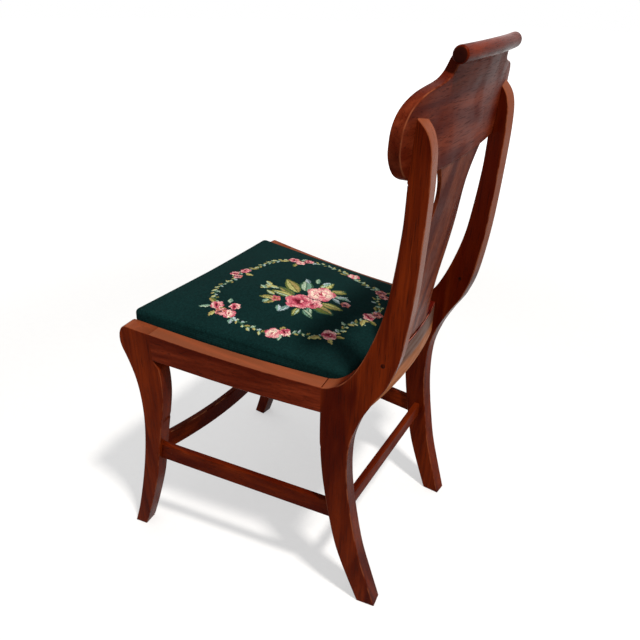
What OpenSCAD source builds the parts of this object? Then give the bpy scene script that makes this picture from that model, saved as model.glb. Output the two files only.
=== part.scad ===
// Empire side chair: sabre legs, bowed crest rail with a back roll, vase splat,
// box stretchers and a drop-in needlepoint seat.
// The chair faces -Y, the sitter's left is +X, and it stands on Z = 0.

/* [Overall] */
// Height from the floor to the top of the crest roll
overall_h = 845; // [800:1:890]
// Width over the two side frames, measured at the front knees
front_w = 432.5; // [405:0.5:470]
// Width over the two side frames, measured at the back of the posts
back_w = 337.5; // [315:0.5:365]

/* [Side frames] */
// Thickness of every plank in a side frame
plank_t = 27.5; // [25:0.5:30]
// How far the front toe reaches ahead of the knee
toe_reach = 37; // [28:1:46]
// How far the knee stands proud of the slimmest part of the front leg
knee_bulge = 23; // [18:1:27]
// Depth of the front leg's head, from the knee to the side rail
head_d = 58; // [54:1:66]
// How far the calf of the front leg swells behind the rail joint
calf_bulge = 11; // [6:1:16]
// How far the heel of the front leg lies ahead of the calf
heel_sweep = 82; // [76:1:86]
// Length of a side rail between its two joints
rail_l = 284; // [260:1:310]
// Distance from the side rail's rear joint to the back of the stile
post_reach = 122; // [114:1:132]
// Height of the front knees
knee_h = 438; // [430:1:450]
// Height of the side rail's top at the front leg
rail_top_front = 433; // [425:1:437]
// Height of the side rail's top at the rear post
rail_top_back = 417; // [410:1:424]
// How far the side rail's top dips between its joints
rail_dip = 4; // [0:0.5:6]
// Depth of the side rail at the front leg
rail_h_front = 47; // [43:1:54]
// Depth of the side rail at the rear post
rail_h_back = 43.5; // [41:0.5:50]
// Height of the rear posts
post_h = 780; // [765:1:795]

/* [Cross rails] */
// Thickness of the front seat rail
front_rail_t = 22; // [18:1:25]
// Height of the front seat rail at its back
front_rail_h = 38; // [34:1:48]
// How far the front rail's face is set back from the knees
front_rail_setback = 12; // [10:1:15]
// Radius of the front rail's rounded top edge
front_rail_round = 6; // [3:0.5:9]
// Height of the rear seat rail
rear_rail_h = 54; // [48:1:60]
// Thickness of the rear seat rail at its ends
rear_rail_t = 21; // [18:1:24]
// Radius of the bowed back of the rear seat rail
rear_rail_bow = 850; // [700:10:1600]
// Distance from the side rails' rear joint to the back of the rear rail's ends
rear_rail_reach = 45; // [42:1:48]

/* [Crest rail] */
// Width over the ears of the crest rail
crest_w = 394; // [380:1:420]
// Height of the crest board from its lower edge to the lip of the roll
crest_h = 132; // [122:1:142]
// Thickness of the crest board
crest_t = 15; // [13:0.5:18]
// Radius of the bow of the crest rail, seen from above
crest_bow = 1400; // [1200:10:2000]
// How far the crest board sweeps back from its face to the roll
crest_sweep = 17; // [13:0.5:20]
// Diameter of the back roll
roll_d = 19; // [16:0.5:23]
// Length of the back roll
roll_l = 222; // [210:1:250]
// How far the middle of the roll stands behind the crest board's back
roll_setback = 13.5; // [11:0.5:16]
// How far the crest's back lies ahead of the back of the stiles, at the middle
crest_inset = 12.5; // [11:0.5:15]

/* [Splat] */
// Width of the splat where it meets the crest rail
splat_top_w = 160; // [140:1:180]
// Thickness of the splat
splat_t = 8; // [6:0.5:9]
// Radius of the bow of the splat, seen from above
splat_bow = 1100; // [900:10:1800]
// Setback of the splat from the back of the crest rail
splat_top_setback = 1; // [0.5:0.1:2]
// Setback of the splat's foot from the back of the rear rail
splat_foot_setback = 2; // [1:0.5:5]
// Depth of the groove in the crest rail that houses the splat
groove_d = 8; // [5:0.5:12]
// Thickness of the shoe that the splat stands in
shoe_t = 4.5; // [3:0.5:8]
// Depth of the shoe at its ends, from front to back
shoe_d = 14; // [11:0.5:17]

/* [Stretchers] */
// Height of the side and front stretchers
stretcher_h = 33; // [28:1:38]
// Height of the rear stretcher
rear_stretcher_h = 27; // [22:1:32]
// Thickness of a stretcher
stretcher_t = 11; // [9:0.5:13]
// Height of the lower edge of the side stretchers at the front legs
stretcher_z_front = 177; // [165:1:190]
// Height of the lower edge of the side stretchers at the rear legs
stretcher_z_back = 166; // [155:1:180]
// How much lower than the side stretchers the front stretcher sits
cross_stretcher_drop = 1; // [0:1:8]
// Setback of the side stretchers from the outside of the legs
side_stretcher_setback = 8; // [6:0.5:9]
// Setback of the rear stretcher from the back of the rear legs
rear_stretcher_setback = 16; // [12:1:17]
// Setback of the front stretcher's ends from the front edge of the legs
front_stretcher_setback = 6; // [4:0.5:8]
// Radius of the bow of the front stretcher
front_stretcher_bow = 700; // [600:10:1600]
// Depth of a side stretcher's end in the leg
side_tenon_l = 7; // [5:0.5:7.5]
// Depth of a cross stretcher's end in the leg
cross_tenon_l = 11; // [8:0.5:14]

/* [Drop-in seat] */
// Thickness of the seat frame's members
frame_t = 18; // [14:1:20]
// Width of the seat frame's members
frame_w = 46; // [42:1:56]
// How far the top of the seat frame lies below the tops of the side rails
frame_drop = 2; // [1:0.5:4]
// Height of the cushion's rolled edge above the side rails
edge_h = 13.5; // [10:0.5:16]
// Height of the crown above the rolled edge
crown_h = 14; // [8:1:22]
// Gap between the covered seat and the side rails
seat_gap = 2; // [1:0.1:3]
// Gap between the covered seat and the rear rail
seat_gap_y = 2.2; // [1.8:0.1:4]
// How far the covered seat's front lies behind the knees
seat_front_setback = 6; // [4:0.5:8]
// Corner radius of the cushion, seen from above
cushion_corner_r = 10; // [8:1:16]
// Rounding of the cushion's top edge
edge_roll = 7; // [5:0.5:8]
// How far the cushion's front and back draw in between the corners
end_draw_in = 1.6; // [0.4:0.1:3]
// How far the cushion's sides draw in between the corners
side_draw_in = 4; // [0.4:0.1:6]
// Thickness of the needlepoint cover
cover_t = 1.5; // [1:0.1:2]
// Thickness of the webbing
webbing_t = 1.2; // [0.8:0.1:1.6]
// Width of the webbing
webbing_w = 50; // [40:1:60]
// Thickness of the hessian over the webbing
hessian_t = 0.8; // [0.5:0.1:1.2]
// Thickness of the dust cover
dust_t = 0.6; // [0.4:0.1:1]

/* [Fixings] */
// Diameter of the dowels in the rail joints
dowel_d = 9; // [7:0.5:9.5]
// Length of the dowels in the rail joints
dowel_l = 36; // [28:1:38]
// Length of the dowels that hold the crest rail to the stiles
crest_dowel_l = 19; // [15:1:20]
// Diameter of the peg through each rear post
peg_d = 6.5; // [5:0.5:9]
// Height of the peg through each rear post
peg_z = 475; // [465:1:490]
// Length of a corner block along the rails
block_l = 58; // [52:1:66]
// Height of a corner block
block_h = 18; // [16:1:20]
// Width of the cleats that carry the seat
cleat_w = 12; // [9:1:14]
// Height of the cleats that carry the seat
cleat_h = 15; // [12:1:18]
// Shank diameter of the wood screws
screw_d = 4; // [3:0.5:4]
// Length of the wood screws in the corner blocks
block_screw_l = 30; // [26:1:32]
// Length of the wood screws in the cleats
cleat_screw_l = 21; // [18:1:24]
// Diameter of a tack's head
tack_head_d = 6; // [4:0.5:7]
// Length of a tack
tack_l = 11; // [8:1:13]

/* [Hidden] */

mahogany = "#5a2416";
dark_wood = "#4a1c12";
pale_wood = "#a0703f";
needlepoint = "#12302c";
linen = "#b09a72";
black_cloth = "#161616";
steel = "#8a8a86";

// Running fit of a peg or tenon in its hole, the rest gap under the seat, and the overrun of every cut
fit = 0.15;
rest_gap = 0.3;
over = 1;

// Stations along the depth of the chair, from the toes to the back of the roll.
// The skew is how far the inner face of a plank lies ahead of its outer face.
roll_r = roll_d / 2;
frame_l = head_d + rail_l + post_reach;
frame_taper = (front_w - back_w) / 2 / frame_l;
frame_angle = atan(frame_taper);
roll_back = roll_setback + roll_r - crest_inset;
plank_skew = plank_t * sin(frame_angle);
overall_d = plank_skew + toe_reach + frame_l + roll_back;
toe_y = plank_skew - overall_d / 2;
knee_y = toe_y + toe_reach;
joint_front_y = knee_y + head_d;
joint_back_y = joint_front_y + rail_l;
stile_back_y = joint_back_y + post_reach;

// The side frames stand in two upright planes that draw together to the rear
half_w_mid = front_w / 2 + frame_taper * knee_y;
plank_dx = plank_t / cos(frame_angle);
function outer_x(y) = half_w_mid - frame_taper * y;
function inner_x(y) = outer_x(y) - plank_dx;

// The seat slopes down to the rear with the side rails
seat_fall = (rail_top_front - rail_top_back) / rail_l;
seat_rake = atan(seat_fall);
function rail_top(y) = rail_top_front - (y - joint_front_y) * seat_fall;
rail_bottom_front = rail_top_front - rail_h_front;
rail_bottom_back = rail_top_back - rail_h_back;

// Smooth curve through a list of points, with a number of steps for each span
function spline_point(a, b, c, d, t) =
    (2 * b + (c - a) * t + (2 * a - 5 * b + 4 * c - d) * t * t
    + (3 * b - a - 3 * c + d) * t * t * t) / 2;
function spline(p, steps) = [
    for (i = [0 : len(p) - 2]) for (k = [0 : steps - 1])
        spline_point(p[max(i - 1, 0)], p[i], p[i + 1], p[min(i + 2, len(p) - 1)], k / steps),
    p[len(p) - 1]
];
curve_steps = 2;
dip_steps = 12;
function reversed(list) = [for (i = [len(list) - 1 : -1 : 0]) list[i]];

// Front leg, front edge from the toe to the knee: shares of the sweep and of the knee's height
leg_front_shares = [
    [1.00, 0], [0.81, 0.075], [0.64, 0.155], [0.417, 0.274], [0.23, 0.39], [0.09, 0.50],
    [0.01, 0.60], [0, 0.69], [0.045, 0.765], [0.13, 0.82], [0.25, 0.872], [0.355, 0.91],
    [0.385, 0.94], [0.355, 0.968], [0.27, 0.99], [0.15, 1.00]
];
// Front leg, rear edge from the rail to the heel: shares of the heel's sweep and of the rail's underside
leg_rear_shares = [
    [0.02, 0.965], [0, 0.93], [0, 0.865], [0.03, 0.80], [0.10, 0.72], [0.19, 0.63], [0.275, 0.54],
    [0.37, 0.44], [0.47, 0.34], [0.61, 0.24], [0.77, 0.135], [0.91, 0.05], [1, 0]
];
// Rear leg, front edge from the rail to the foot: shares of the post's reach and of the rail's underside
foot_front_shares = [
    [0, 1], [0, 0.90], [0.01, 0.80], [0.04, 0.69], [0.09, 0.575], [0.155, 0.455],
    [0.26, 0.30], [0.42, 0.15], [0.60, 0]
];
// Rear leg, rear edge from the heel to the seat: shares of the post's reach and of the rail's top
foot_rear_shares = [
    [0.855, 0], [0.70, 0.145], [0.572, 0.27], [0.48, 0.40], [0.395, 0.55], [0.36, 0.68],
    [0.378, 0.79], [0.455, 0.875], [0.53, 0.93], [0.635, 0.99]
];
// Stile, rear edge from the seat to the tip: shares of the post's reach and of the stile's height
stile_rear_shares = [
    [0.745, 0.052], [0.84, 0.135], [0.905, 0.24], [0.963, 0.42], [0.988, 0.60], [1, 0.76],
    [0.997, 0.85], [0.982, 0.912], [0.945, 0.955], [0.89, 0.982], [0.835, 1]
];
// Stile, front edge from the crest rail to the seat: shares of the post's reach and of the rise between them
stile_front_shares = [
    [0.79, 1], [0.785, 0.86], [0.768, 0.76], [0.745, 0.66], [0.70, 0.51], [0.655, 0.42],
    [0.60, 0.34], [0.53, 0.255], [0.455, 0.18], [0.38, 0.118], [0.30, 0.072], [0.20, 0.032],
    [0.10, 0.009], [0, 0]
];
// Side rail, lower edge from the front joint: shares of the rail's length and of its drop to the rear
rail_bottom_shares = [[0, 0], [0.25, 0.42], [0.5, 0.76], [0.75, 0.95], [1, 1]];
// Crest rail, left half from the lower edge over the ear to the neck: shares of half its width and height
crest_shares = [
    [0.76, 0], [0.843, 0.035], [0.916, 0.095], [0.967, 0.18], [0.995, 0.275], [1, 0.37],
    [0.995, 0.46], [0.975, 0.54], [0.940, 0.61], [0.888, 0.665], [0.815, 0.71], [0.73, 0.737],
    [0.64, 0.758], [0.575, 0.785], [0.535, 0.825], [0.517, 0.875], [0.514, 0.93], [0.514, 1.02]
];
// Crest board, back and front surfaces from the lower edge up: shares of its sweep and of its height
crest_back_shares = [
    [-0.20, 0], [-0.07, 0.16], [0, 0.306], [0.12, 0.533], [0.36, 0.72], [0.60, 0.874], [0.82, 0.95]
];
crest_front_shares = [
    [-0.20, 0], [-0.07, 0.16], [0, 0.306], [0.12, 0.533], [0.36, 0.72], [0.62, 0.84], [0.85, 0.92]
];
// Lip of the crest board over the roll: shares of the roll's radius
lip_rise_share = 0.64;
lip_reach_share = 0.76;
// Splat, left half from the top to the foot: shares of half its top width and of its height
splat_shares = [
    [1, 1], [0.863, 0.952], [0.76, 0.904], [0.70, 0.849], [0.715, 0.785], [0.775, 0.715],
    [0.835, 0.64], [0.866, 0.56], [0.858, 0.476], [0.815, 0.40], [0.785, 0.33], [0.795, 0.253],
    [0.862, 0.151], [0.965, 0.07], [1.08, 0]
];

// Sizes that the crest rail is laid out on
crest_z = overall_h - crest_h - roll_r * (1 - lip_rise_share);
roll_z = overall_h - roll_r;
crest_back_y = stile_back_y - crest_inset;
crest_axis_y = crest_back_y - crest_bow;
function crest_back_at(x) = crest_axis_y + sqrt(crest_bow * crest_bow - x * x);

// Sizes that the side frames' outlines are laid out on
waist_y = knee_y + knee_bulge;
toe_sweep = toe_reach + knee_bulge;
calf_y = joint_front_y + calf_bulge;
leg_front_edge = [for (s = leg_front_shares) [waist_y - s[0] * toe_sweep, s[1] * knee_h]];
leg_rear_edge = [for (s = leg_rear_shares) [calf_y - s[0] * heel_sweep, s[1] * rail_bottom_front]];
foot_front_edge = [for (s = foot_front_shares) [joint_back_y + s[0] * post_reach, s[1] * rail_bottom_back]];
foot_rear_edge = [for (s = foot_rear_shares) [joint_back_y + s[0] * post_reach, s[1] * rail_top_back]];
stile_rear_edge = [for (s = stile_rear_shares)
    [joint_back_y + s[0] * post_reach, rail_top_back + s[1] * (post_h - rail_top_back)]];
stile_front_edge = [for (s = stile_front_shares)
    [joint_back_y + s[0] * post_reach, rail_top_back + s[1] * (crest_z - rail_top_back)]];
rail_bottom_edge = [for (s = rail_bottom_shares)
    [joint_front_y + s[0] * rail_l, rail_bottom_front - s[1] * (rail_bottom_front - rail_bottom_back)]];

// Depth at which an edge passes a height, for edges listed upward and downward
function edge_up(edge, z) = lookup(z, [for (p = edge) [p[1], p[0]]]);
function edge_down(edge, z) = lookup(z, [for (p = reversed(edge)) [p[1], p[0]]]);

front_leg_points = concat(
    spline(leg_front_edge, curve_steps),
    [[joint_front_y, rail_top_front], [joint_front_y, rail_bottom_front]],
    spline(leg_rear_edge, curve_steps)
);
rear_post_points = concat(
    spline(foot_rear_edge, curve_steps),
    spline(stile_rear_edge, curve_steps),
    [[stile_front_edge[0][0], post_h]],
    spline(stile_front_edge, curve_steps),
    spline(foot_front_edge, curve_steps)
);
side_rail_points = concat(
    [for (i = [dip_steps : -1 : 0]) let (y = joint_front_y + rail_l * i / dip_steps)
        [y, rail_top(y) - rail_dip * sin(180 * i / dip_steps)]],
    spline(rail_bottom_edge, curve_steps)
);

// An outline in a side frame's plane, given as depth and height, made into a plank
module side_plank(points, t = plank_t, inset = 0) {
    translate([half_w_mid, 0, 0]) rotate([0, 0, frame_angle]) translate([-t - inset, 0, 0])
        rotate([90, 0, 90]) linear_extrude(t)
            polygon([for (p = points) [p[0] / cos(frame_angle), p[1]]]);
}

// A pin square to a side frame, between two depths under the frame's outside
module side_pin(y, z, from, to, d) {
    translate([half_w_mid, 0, 0]) rotate([0, 0, frame_angle])
        translate([-to, y / cos(frame_angle), z]) rotate([0, 90, 0]) cylinder(d = d, h = to - from, $fn = 32);
}

// A dowel along a side frame, in the middle of the plank
module side_dowel(y, z, d, l) {
    translate([half_w_mid, 0, 0]) rotate([0, 0, frame_angle])
        translate([-plank_t / 2, y / cos(frame_angle) - l / 2, z])
            rotate([-90, 0, 0]) cylinder(d = d, h = l, $fn = 32);
}

// What is drawn on the left is mirrored to the right
module right_side() { mirror([1, 0, 0]) children(); }
module both_sides() {
    children();
    right_side() children();
}

// The room between the side frames from one depth and height to another, less a gap at each side
module room(y0, y1, z0, z1, gap = 0) {
    translate([0, 0, z0]) linear_extrude(z1 - z0) polygon([
        [-inner_x(y0) + gap, y0], [inner_x(y0) - gap, y0],
        [inner_x(y1) - gap, y1], [-inner_x(y1) + gap, y1]
    ]);
}

// Dowels between the side rails, the front legs' heads and the rear posts
dowel_height_shares = [0.32, 0.78];
module side_rail_dowels_left(d = dowel_d, l = dowel_l) {
    for (s = dowel_height_shares) {
        side_dowel(joint_front_y, rail_bottom_front + s * rail_h_front, d, l);
        side_dowel(joint_back_y, rail_bottom_back + s * rail_h_back, d, l);
    }
}

// Front rail, set between the front legs under the seat's front edge
front_rail_y = knee_y + front_rail_setback;
front_rail_back_y = front_rail_y + front_rail_t;
seat_below = frame_drop + frame_t + cover_t + fit;
function seat_under(y) = rail_top(y) - seat_below / cos(seat_rake);
front_rail_top = seat_under(front_rail_y + front_rail_round) - rest_gap;
front_rail_z = seat_under(front_rail_back_y) - rest_gap - front_rail_h;
front_rail_points = concat(
    [[front_rail_y, front_rail_z], [front_rail_back_y, front_rail_z],
     [front_rail_back_y, front_rail_z + front_rail_h]],
    [for (a = [90 : 15 : 180])
        [front_rail_y + front_rail_round * (1 + cos(a)), front_rail_top - front_rail_round * (1 - sin(a))]]
);

// Rear rail, with its bowed back
rear_rail_end_y = joint_back_y + rear_rail_reach;
rear_rail_front_y = rear_rail_end_y - rear_rail_t;
rear_rail_half = inner_x(rear_rail_end_y);
rear_rail_axis_y = rear_rail_end_y - sqrt(rear_rail_bow * rear_rail_bow - rear_rail_half * rear_rail_half);
rear_rail_back_y = rear_rail_axis_y + rear_rail_bow;
rear_rail_drop = 1;
rear_rail_top = rail_top_back - rear_rail_drop;
rear_rail_z = rear_rail_top - rear_rail_h;
shoe_top = rear_rail_top + shoe_t;

module bowed_room(y0, z0, z1, gap = 0) {
    intersection() {
        room(y0, rear_rail_back_y + over, z0, z1, gap);
        translate([0, rear_rail_axis_y, z0 - over])
            cylinder(r = rear_rail_bow, h = z1 - z0 + 2 * over, $fn = 720);
    }
}

// Dowels between the cross rails and the side frames
module cross_rail_dowels_left(d = dowel_d, l = dowel_l) {
    front_y = front_rail_y + front_rail_t / 2;
    rear_y = rear_rail_end_y - rear_rail_t / 2;
    for (s = dowel_height_shares) {
        translate([inner_x(front_y) - l / 2, front_y, front_rail_z + s * front_rail_h])
            rotate([0, 90, 0]) cylinder(d = d, h = l, $fn = 32);
        translate([inner_x(rear_y) - l / 2, rear_y, rear_rail_z + s * rear_rail_h])
            rotate([0, 90, 0]) cylinder(d = d, h = l, $fn = 32);
    }
}

// Stretchers, with their ends housed in the legs
side_stretcher_y0 = edge_down(leg_rear_edge, stretcher_z_front + stretcher_h / 2) - side_tenon_l;
side_stretcher_y1 = edge_down(foot_front_edge, stretcher_z_back + stretcher_h / 2) + side_tenon_l;
module side_stretcher(extra = 0) {
    z0 = stretcher_z_front - extra;
    z1 = stretcher_z_back - extra;
    h = stretcher_h + 2 * extra;
    side_plank([
        [side_stretcher_y0 - extra, z0], [side_stretcher_y1 + extra, z1],
        [side_stretcher_y1 + extra, z1 + h], [side_stretcher_y0 - extra, z0 + h]
    ], stretcher_t + 2 * extra, side_stretcher_setback - extra);
}

front_stretcher_z = stretcher_z_front - cross_stretcher_drop;
rear_stretcher_z = stretcher_z_back + stretcher_h - rear_stretcher_h;
front_stretcher_y = edge_up(leg_front_edge, front_stretcher_z + stretcher_h / 2) + front_stretcher_setback;
front_stretcher_half = inner_x(front_stretcher_y);
front_stretcher_axis_y = front_stretcher_y
    - sqrt(front_stretcher_bow * front_stretcher_bow - front_stretcher_half * front_stretcher_half);
module front_stretcher_bar(extra = 0) {
    middle_y = front_stretcher_axis_y + front_stretcher_bow + stretcher_t;
    intersection() {
        room(front_stretcher_y - stretcher_t, middle_y + over, front_stretcher_z - extra,
            front_stretcher_z + stretcher_h + extra, -cross_tenon_l - extra);
        translate([0, front_stretcher_axis_y, 0]) difference() {
            cylinder(r = front_stretcher_bow + stretcher_t + extra, h = overall_h, $fn = 720);
            translate([0, 0, -over])
                cylinder(r = front_stretcher_bow - extra, h = overall_h + 2 * over, $fn = 720);
        }
    }
}

rear_stretcher_y = edge_up(foot_rear_edge, rear_stretcher_z + rear_stretcher_h / 2) - rear_stretcher_setback;
module rear_stretcher_bar(extra = 0) {
    room(rear_stretcher_y - stretcher_t - extra, rear_stretcher_y + extra,
        rear_stretcher_z - extra, rear_stretcher_z + rear_stretcher_h + extra, -cross_tenon_l - extra);
}

// Crest board before its outline is cut: its section swept round the bow
crest_angle = 2 * asin((crest_w / 2 + over) / (crest_bow - 2 * crest_t));
crest_profile_front = concat(
    [for (s = crest_front_shares) [s[0] * crest_sweep - crest_t, s[1] * crest_h]],
    [[roll_setback - lip_reach_share * roll_r, crest_h]]
);
crest_profile_back = [for (s = crest_back_shares) [s[0] * crest_sweep, s[1] * crest_h]];
module crest_board(extra = 0) {
    back = spline(crest_profile_back, curve_steps);
    front = spline(crest_profile_front, curve_steps);
    translate([0, crest_axis_y, crest_z]) rotate([0, 0, 90 - crest_angle / 2])
        rotate_extrude(angle = crest_angle, $fn = 720) translate([crest_bow, 0]) polygon(concat(
            [[front[0][0] - extra, -extra]],
            [for (p = front) [p[0] - extra, p[1]]],
            [for (p = reversed(back)) [p[0] + extra, p[1]]],
            [[back[0][0] + extra, -extra]]
        ));
}

crest_ear = spline([for (s = crest_shares) [s[0] * crest_w / 2, s[1] * crest_h]], curve_steps);
crest_outline = concat(crest_ear, [for (p = reversed(crest_ear)) [-p[0], p[1]]]);
module crest_blank() {
    translate([0, stile_back_y, crest_z]) rotate([90, 0, 0])
        linear_extrude(stile_back_y - joint_back_y) polygon(crest_outline);
}

roll_angle = roll_l / (crest_bow + roll_setback) * 180 / PI;
module crest_roll_body(extra = 0, span = roll_angle) {
    translate([0, crest_axis_y, roll_z]) rotate([0, 0, 90 - span / 2])
        rotate_extrude(angle = span, $fn = 720) translate([crest_bow + roll_setback, 0])
            circle(r = roll_r + extra, $fn = 48);
}

// Dowels that hold the crest rail to the stiles
crest_dowel_shares = [0.12, 0.36];
crest_dowel_depth = 0.6;
module crest_dowels_left(d = dowel_d, l = crest_dowel_l) {
    x = (outer_x(crest_back_y) + inner_x(crest_back_y)) / 2;
    for (s = crest_dowel_shares)
        translate([x, crest_back_at(x) - crest_t * crest_dowel_depth, crest_z + s * crest_h])
            rotate([-90, 0, 0]) cylinder(d = d, h = l, $fn = 32);
}

// Splat, leaning from the shoe to the crest rail
splat_foot_y = rear_rail_back_y - splat_foot_setback;
splat_top_y = crest_back_y + crest_back_shares[0][0] * crest_sweep - splat_top_setback;
splat_rise = crest_z - shoe_top;
splat_lean = atan((splat_top_y - splat_foot_y) / splat_rise);
splat_l = splat_rise / cos(splat_lean);
splat_root = shoe_t + splat_t;
splat_half = [for (s = splat_shares) [s[0] * splat_top_w / 2, s[1] * splat_l]];
module splat_place() { translate([0, splat_foot_y, shoe_top]) rotate([-splat_lean, 0, 0]) children(); }
module splat_slab(outline, extra = 0) {
    bow_drop = splat_bow - sqrt(splat_bow * splat_bow - splat_top_w * splat_top_w);
    l = splat_root + splat_l + groove_d + over;
    splat_place() intersection() {
        translate([0, extra + over, 0]) rotate([90, 0, 0])
            linear_extrude(splat_t + bow_drop + 2 * (extra + over)) polygon(outline);
        translate([0, -splat_bow, -splat_root]) difference() {
            cylinder(r = splat_bow + extra, h = l, $fn = 720);
            translate([0, 0, -over]) cylinder(r = splat_bow - splat_t - extra, h = l + 2 * over, $fn = 720);
        }
    }
}
module splat_housing(half_w, z0, z1) {
    splat_slab([[-half_w, z0], [half_w, z0], [half_w, z1], [-half_w, z1]], fit);
}

// Peg through each stile, near its back edge
peg_share = 0.61;
peg_y = edge_down(stile_front_edge, peg_z) * (1 - peg_share) + edge_up(stile_rear_edge, peg_z) * peg_share;

// Corner blocks: a corner, the direction of the cross rail from it, and the height of the block's foot
block_gap = 2.5;
function block_z(y0, y1) = min(seat_under(y0), seat_under(y1)) - block_gap - block_h;
front_block_z = block_z(front_rail_back_y, front_rail_back_y + block_l);
rear_block_z = block_z(rear_rail_front_y - block_l, rear_rail_front_y);
screw_head_share = 2;
screw_sink_share = 0.6;
screw_head_d = screw_d * screw_head_share;
screw_head_h = screw_d * screw_sink_share;
// Where a block's two screws sit: shares of its length along each rail and of its height
cross_screw_share = 0.45;
side_screw_share = 0.72;
cross_screw_rise = 0.72;
side_screw_rise = 0.26;
// Wood of the block under each screw's head
cross_screw_wood = 12;
side_screw_wood = 6;
module corner_block(y, turn, z) {
    translate([0, 0, z]) linear_extrude(block_h) polygon([
        [inner_x(y), y], [inner_x(y + turn * block_l), y + turn * block_l], [inner_x(y) - block_l, y]
    ]);
}
// A wood screw along Z, with its head on the plane z = 0 and its shank below
module wood_screw(l, extra = 0, room_over = 0) {
    translate([0, 0, -l - extra]) cylinder(d = screw_d + 2 * extra, h = l + extra, $fn = 24);
    cylinder(d = screw_head_d + 2 * extra, h = screw_head_h + room_over, $fn = 24);
}
// The two screws of a block, one into the cross rail and one into the side frame
module block_screws(y, turn, z, extra = 0, room_over = 0) {
    x = inner_x(y) - block_l * cross_screw_share;
    translate([x, y + turn * cross_screw_wood, z + block_h * cross_screw_rise]) rotate([-turn * 90, 0, 0])
        wood_screw(block_screw_l, extra, room_over);
    side_y = y + turn * block_l * side_screw_share;
    translate([inner_x(side_y), side_y, z + block_h * side_screw_rise]) rotate([0, 0, frame_angle])
        translate([-side_screw_wood, 0, 0]) rotate([0, -90, 0])
            wood_screw(block_screw_l - cross_screw_wood, extra, room_over);
}
module front_block_screws(extra = 0, room_over = 0) {
    block_screws(front_rail_back_y, 1, front_block_z, extra, room_over);
}
module rear_block_screws(extra = 0, room_over = 0) {
    block_screws(rear_rail_front_y, -1, rear_block_z, extra, room_over);
}

// Cleats between the corner blocks, raked like the seat
cleat_gap = 2;
cleat_y0 = front_rail_back_y + block_l + plank_skew + cleat_gap;
cleat_y1 = rear_rail_front_y - block_l + plank_skew - cleat_gap;
cleat_screw_shares = [0.12, 0.5, 0.88];
module cleat_screw_set(extra = 0, room_over = 0) {
    for (s = cleat_screw_shares) {
        y = cleat_y0 + s * (cleat_y1 - cleat_y0);
        z = seat_under(y) - rest_gap - cleat_h / 2;
        translate([half_w_mid, 0, 0]) rotate([0, 0, frame_angle])
            translate([-plank_t - cleat_w + screw_head_h, y / cos(frame_angle), z]) rotate([0, -90, 0])
                wood_screw(cleat_screw_l, extra, room_over);
    }
}

// The seat's own frame: its Y runs along the side rails' tops, its Z stands square to them
module seat_place() { translate([0, joint_front_y, rail_top_front]) rotate([-seat_rake, 0, 0]) children(); }
seat_y0 = (knee_y + seat_front_setback - joint_front_y) / cos(seat_rake);
seat_y1 = (rear_rail_front_y - seat_gap_y - joint_front_y) / cos(seat_rake);
function seat_half(y) = inner_x(joint_front_y + y * cos(seat_rake)) - seat_gap;

// Half outline of the seat from the middle of the front to the middle of the back, set in by an amount
// and drawn in between its corners by a share
arc_steps = 3;
least_corner_r = cushion_corner_r / 4;
side_steps = 6;
end_steps = 3;
function end_pinch(t) = end_draw_in * sin(180 * t);
function side_pinch(t) = side_draw_in * sin(180 * t);
function seat_outline_half(inset, drawn) =
    let (
        r = max(cushion_corner_r - inset, least_corner_r),
        y0 = seat_y0 + inset,
        y1 = seat_y1 - inset,
        x0 = seat_half(y0 + r) - (inset + r) / cos(frame_angle),
        x1 = seat_half(y1 - r) - (inset + r) / cos(frame_angle),
        side0 = [x0 + r * cos(frame_angle), y0 + r + r * sin(frame_angle)],
        side1 = [x1 + r * cos(frame_angle), y1 - r + r * sin(frame_angle)]
    )
    concat(
        [for (i = [0 : end_steps - 1]) [x0 * i / end_steps, y0 + drawn * end_pinch((1 + i / end_steps) / 2)]],
        [for (i = [0 : arc_steps])
            let (a = -90 + i * (90 + frame_angle) / arc_steps)
                [x0 + r * cos(a), y0 + r + r * sin(a)]],
        [for (i = [1 : side_steps - 1])
            side0 + (side1 - side0) * i / side_steps - [drawn * side_pinch(i / side_steps), 0]],
        [for (i = [0 : arc_steps])
            let (a = frame_angle + i * (90 - frame_angle) / arc_steps)
                [x1 + r * cos(a), y1 - r + r * sin(a)]],
        [for (i = [end_steps - 1 : -1 : 0])
            [x1 * i / end_steps, y1 - drawn * end_pinch((1 + i / end_steps) / 2)]]
    );
function seat_outline(inset, drawn = 0) =
    let (half = seat_outline_half(inset, drawn))
    concat(half, [for (i = [len(half) - 2 : -1 : 1]) [-half[i][0], half[i][1]]]);

// Cushion form: the outline drawn in over the rolled edge and up the crown
edge_shares = [[0, 1], [0.04, 0.55], [0.20, 0.22], [0.52, 0.04], [1, 0]];
crown_shares = [0.86, 0.70, 0.52, 0.33, 0.14];
crown_power = 2.2;
seat_middle = [0, (seat_y0 + seat_y1) / 2];
function crown_z(s) = crown_h * (1 - pow(s, crown_power));
function ring(outline, s, z) = [for (p = outline)
    [seat_middle[0] + (p[0] - seat_middle[0]) * s, seat_middle[1] + (p[1] - seat_middle[1]) * s, z]];
function wall_drawn(z) = (z + frame_drop) / (edge_h - edge_roll + frame_drop);
function cushion_top(inset) = edge_h - inset - crown_z(1 - (edge_roll - inset) / seat_half(seat_middle[1]));
function cushion_rings(inset, wall_levels) =
    let (
        outline = seat_outline(inset, 1),
        roll = edge_roll - inset,
        top = cushion_top(inset),
        half_w = seat_half(seat_middle[1])
    )
    concat(
        [for (z = wall_levels) ring(seat_outline(inset, wall_drawn(z)), 1, z)],
        [for (e = edge_shares)
            let (s = 1 - e[0] * roll / half_w) ring(outline, s, top - e[1] * roll + crown_z(s))],
        [for (s = crown_shares) ring(outline, s, top + crown_z(s))]
    );
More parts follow.
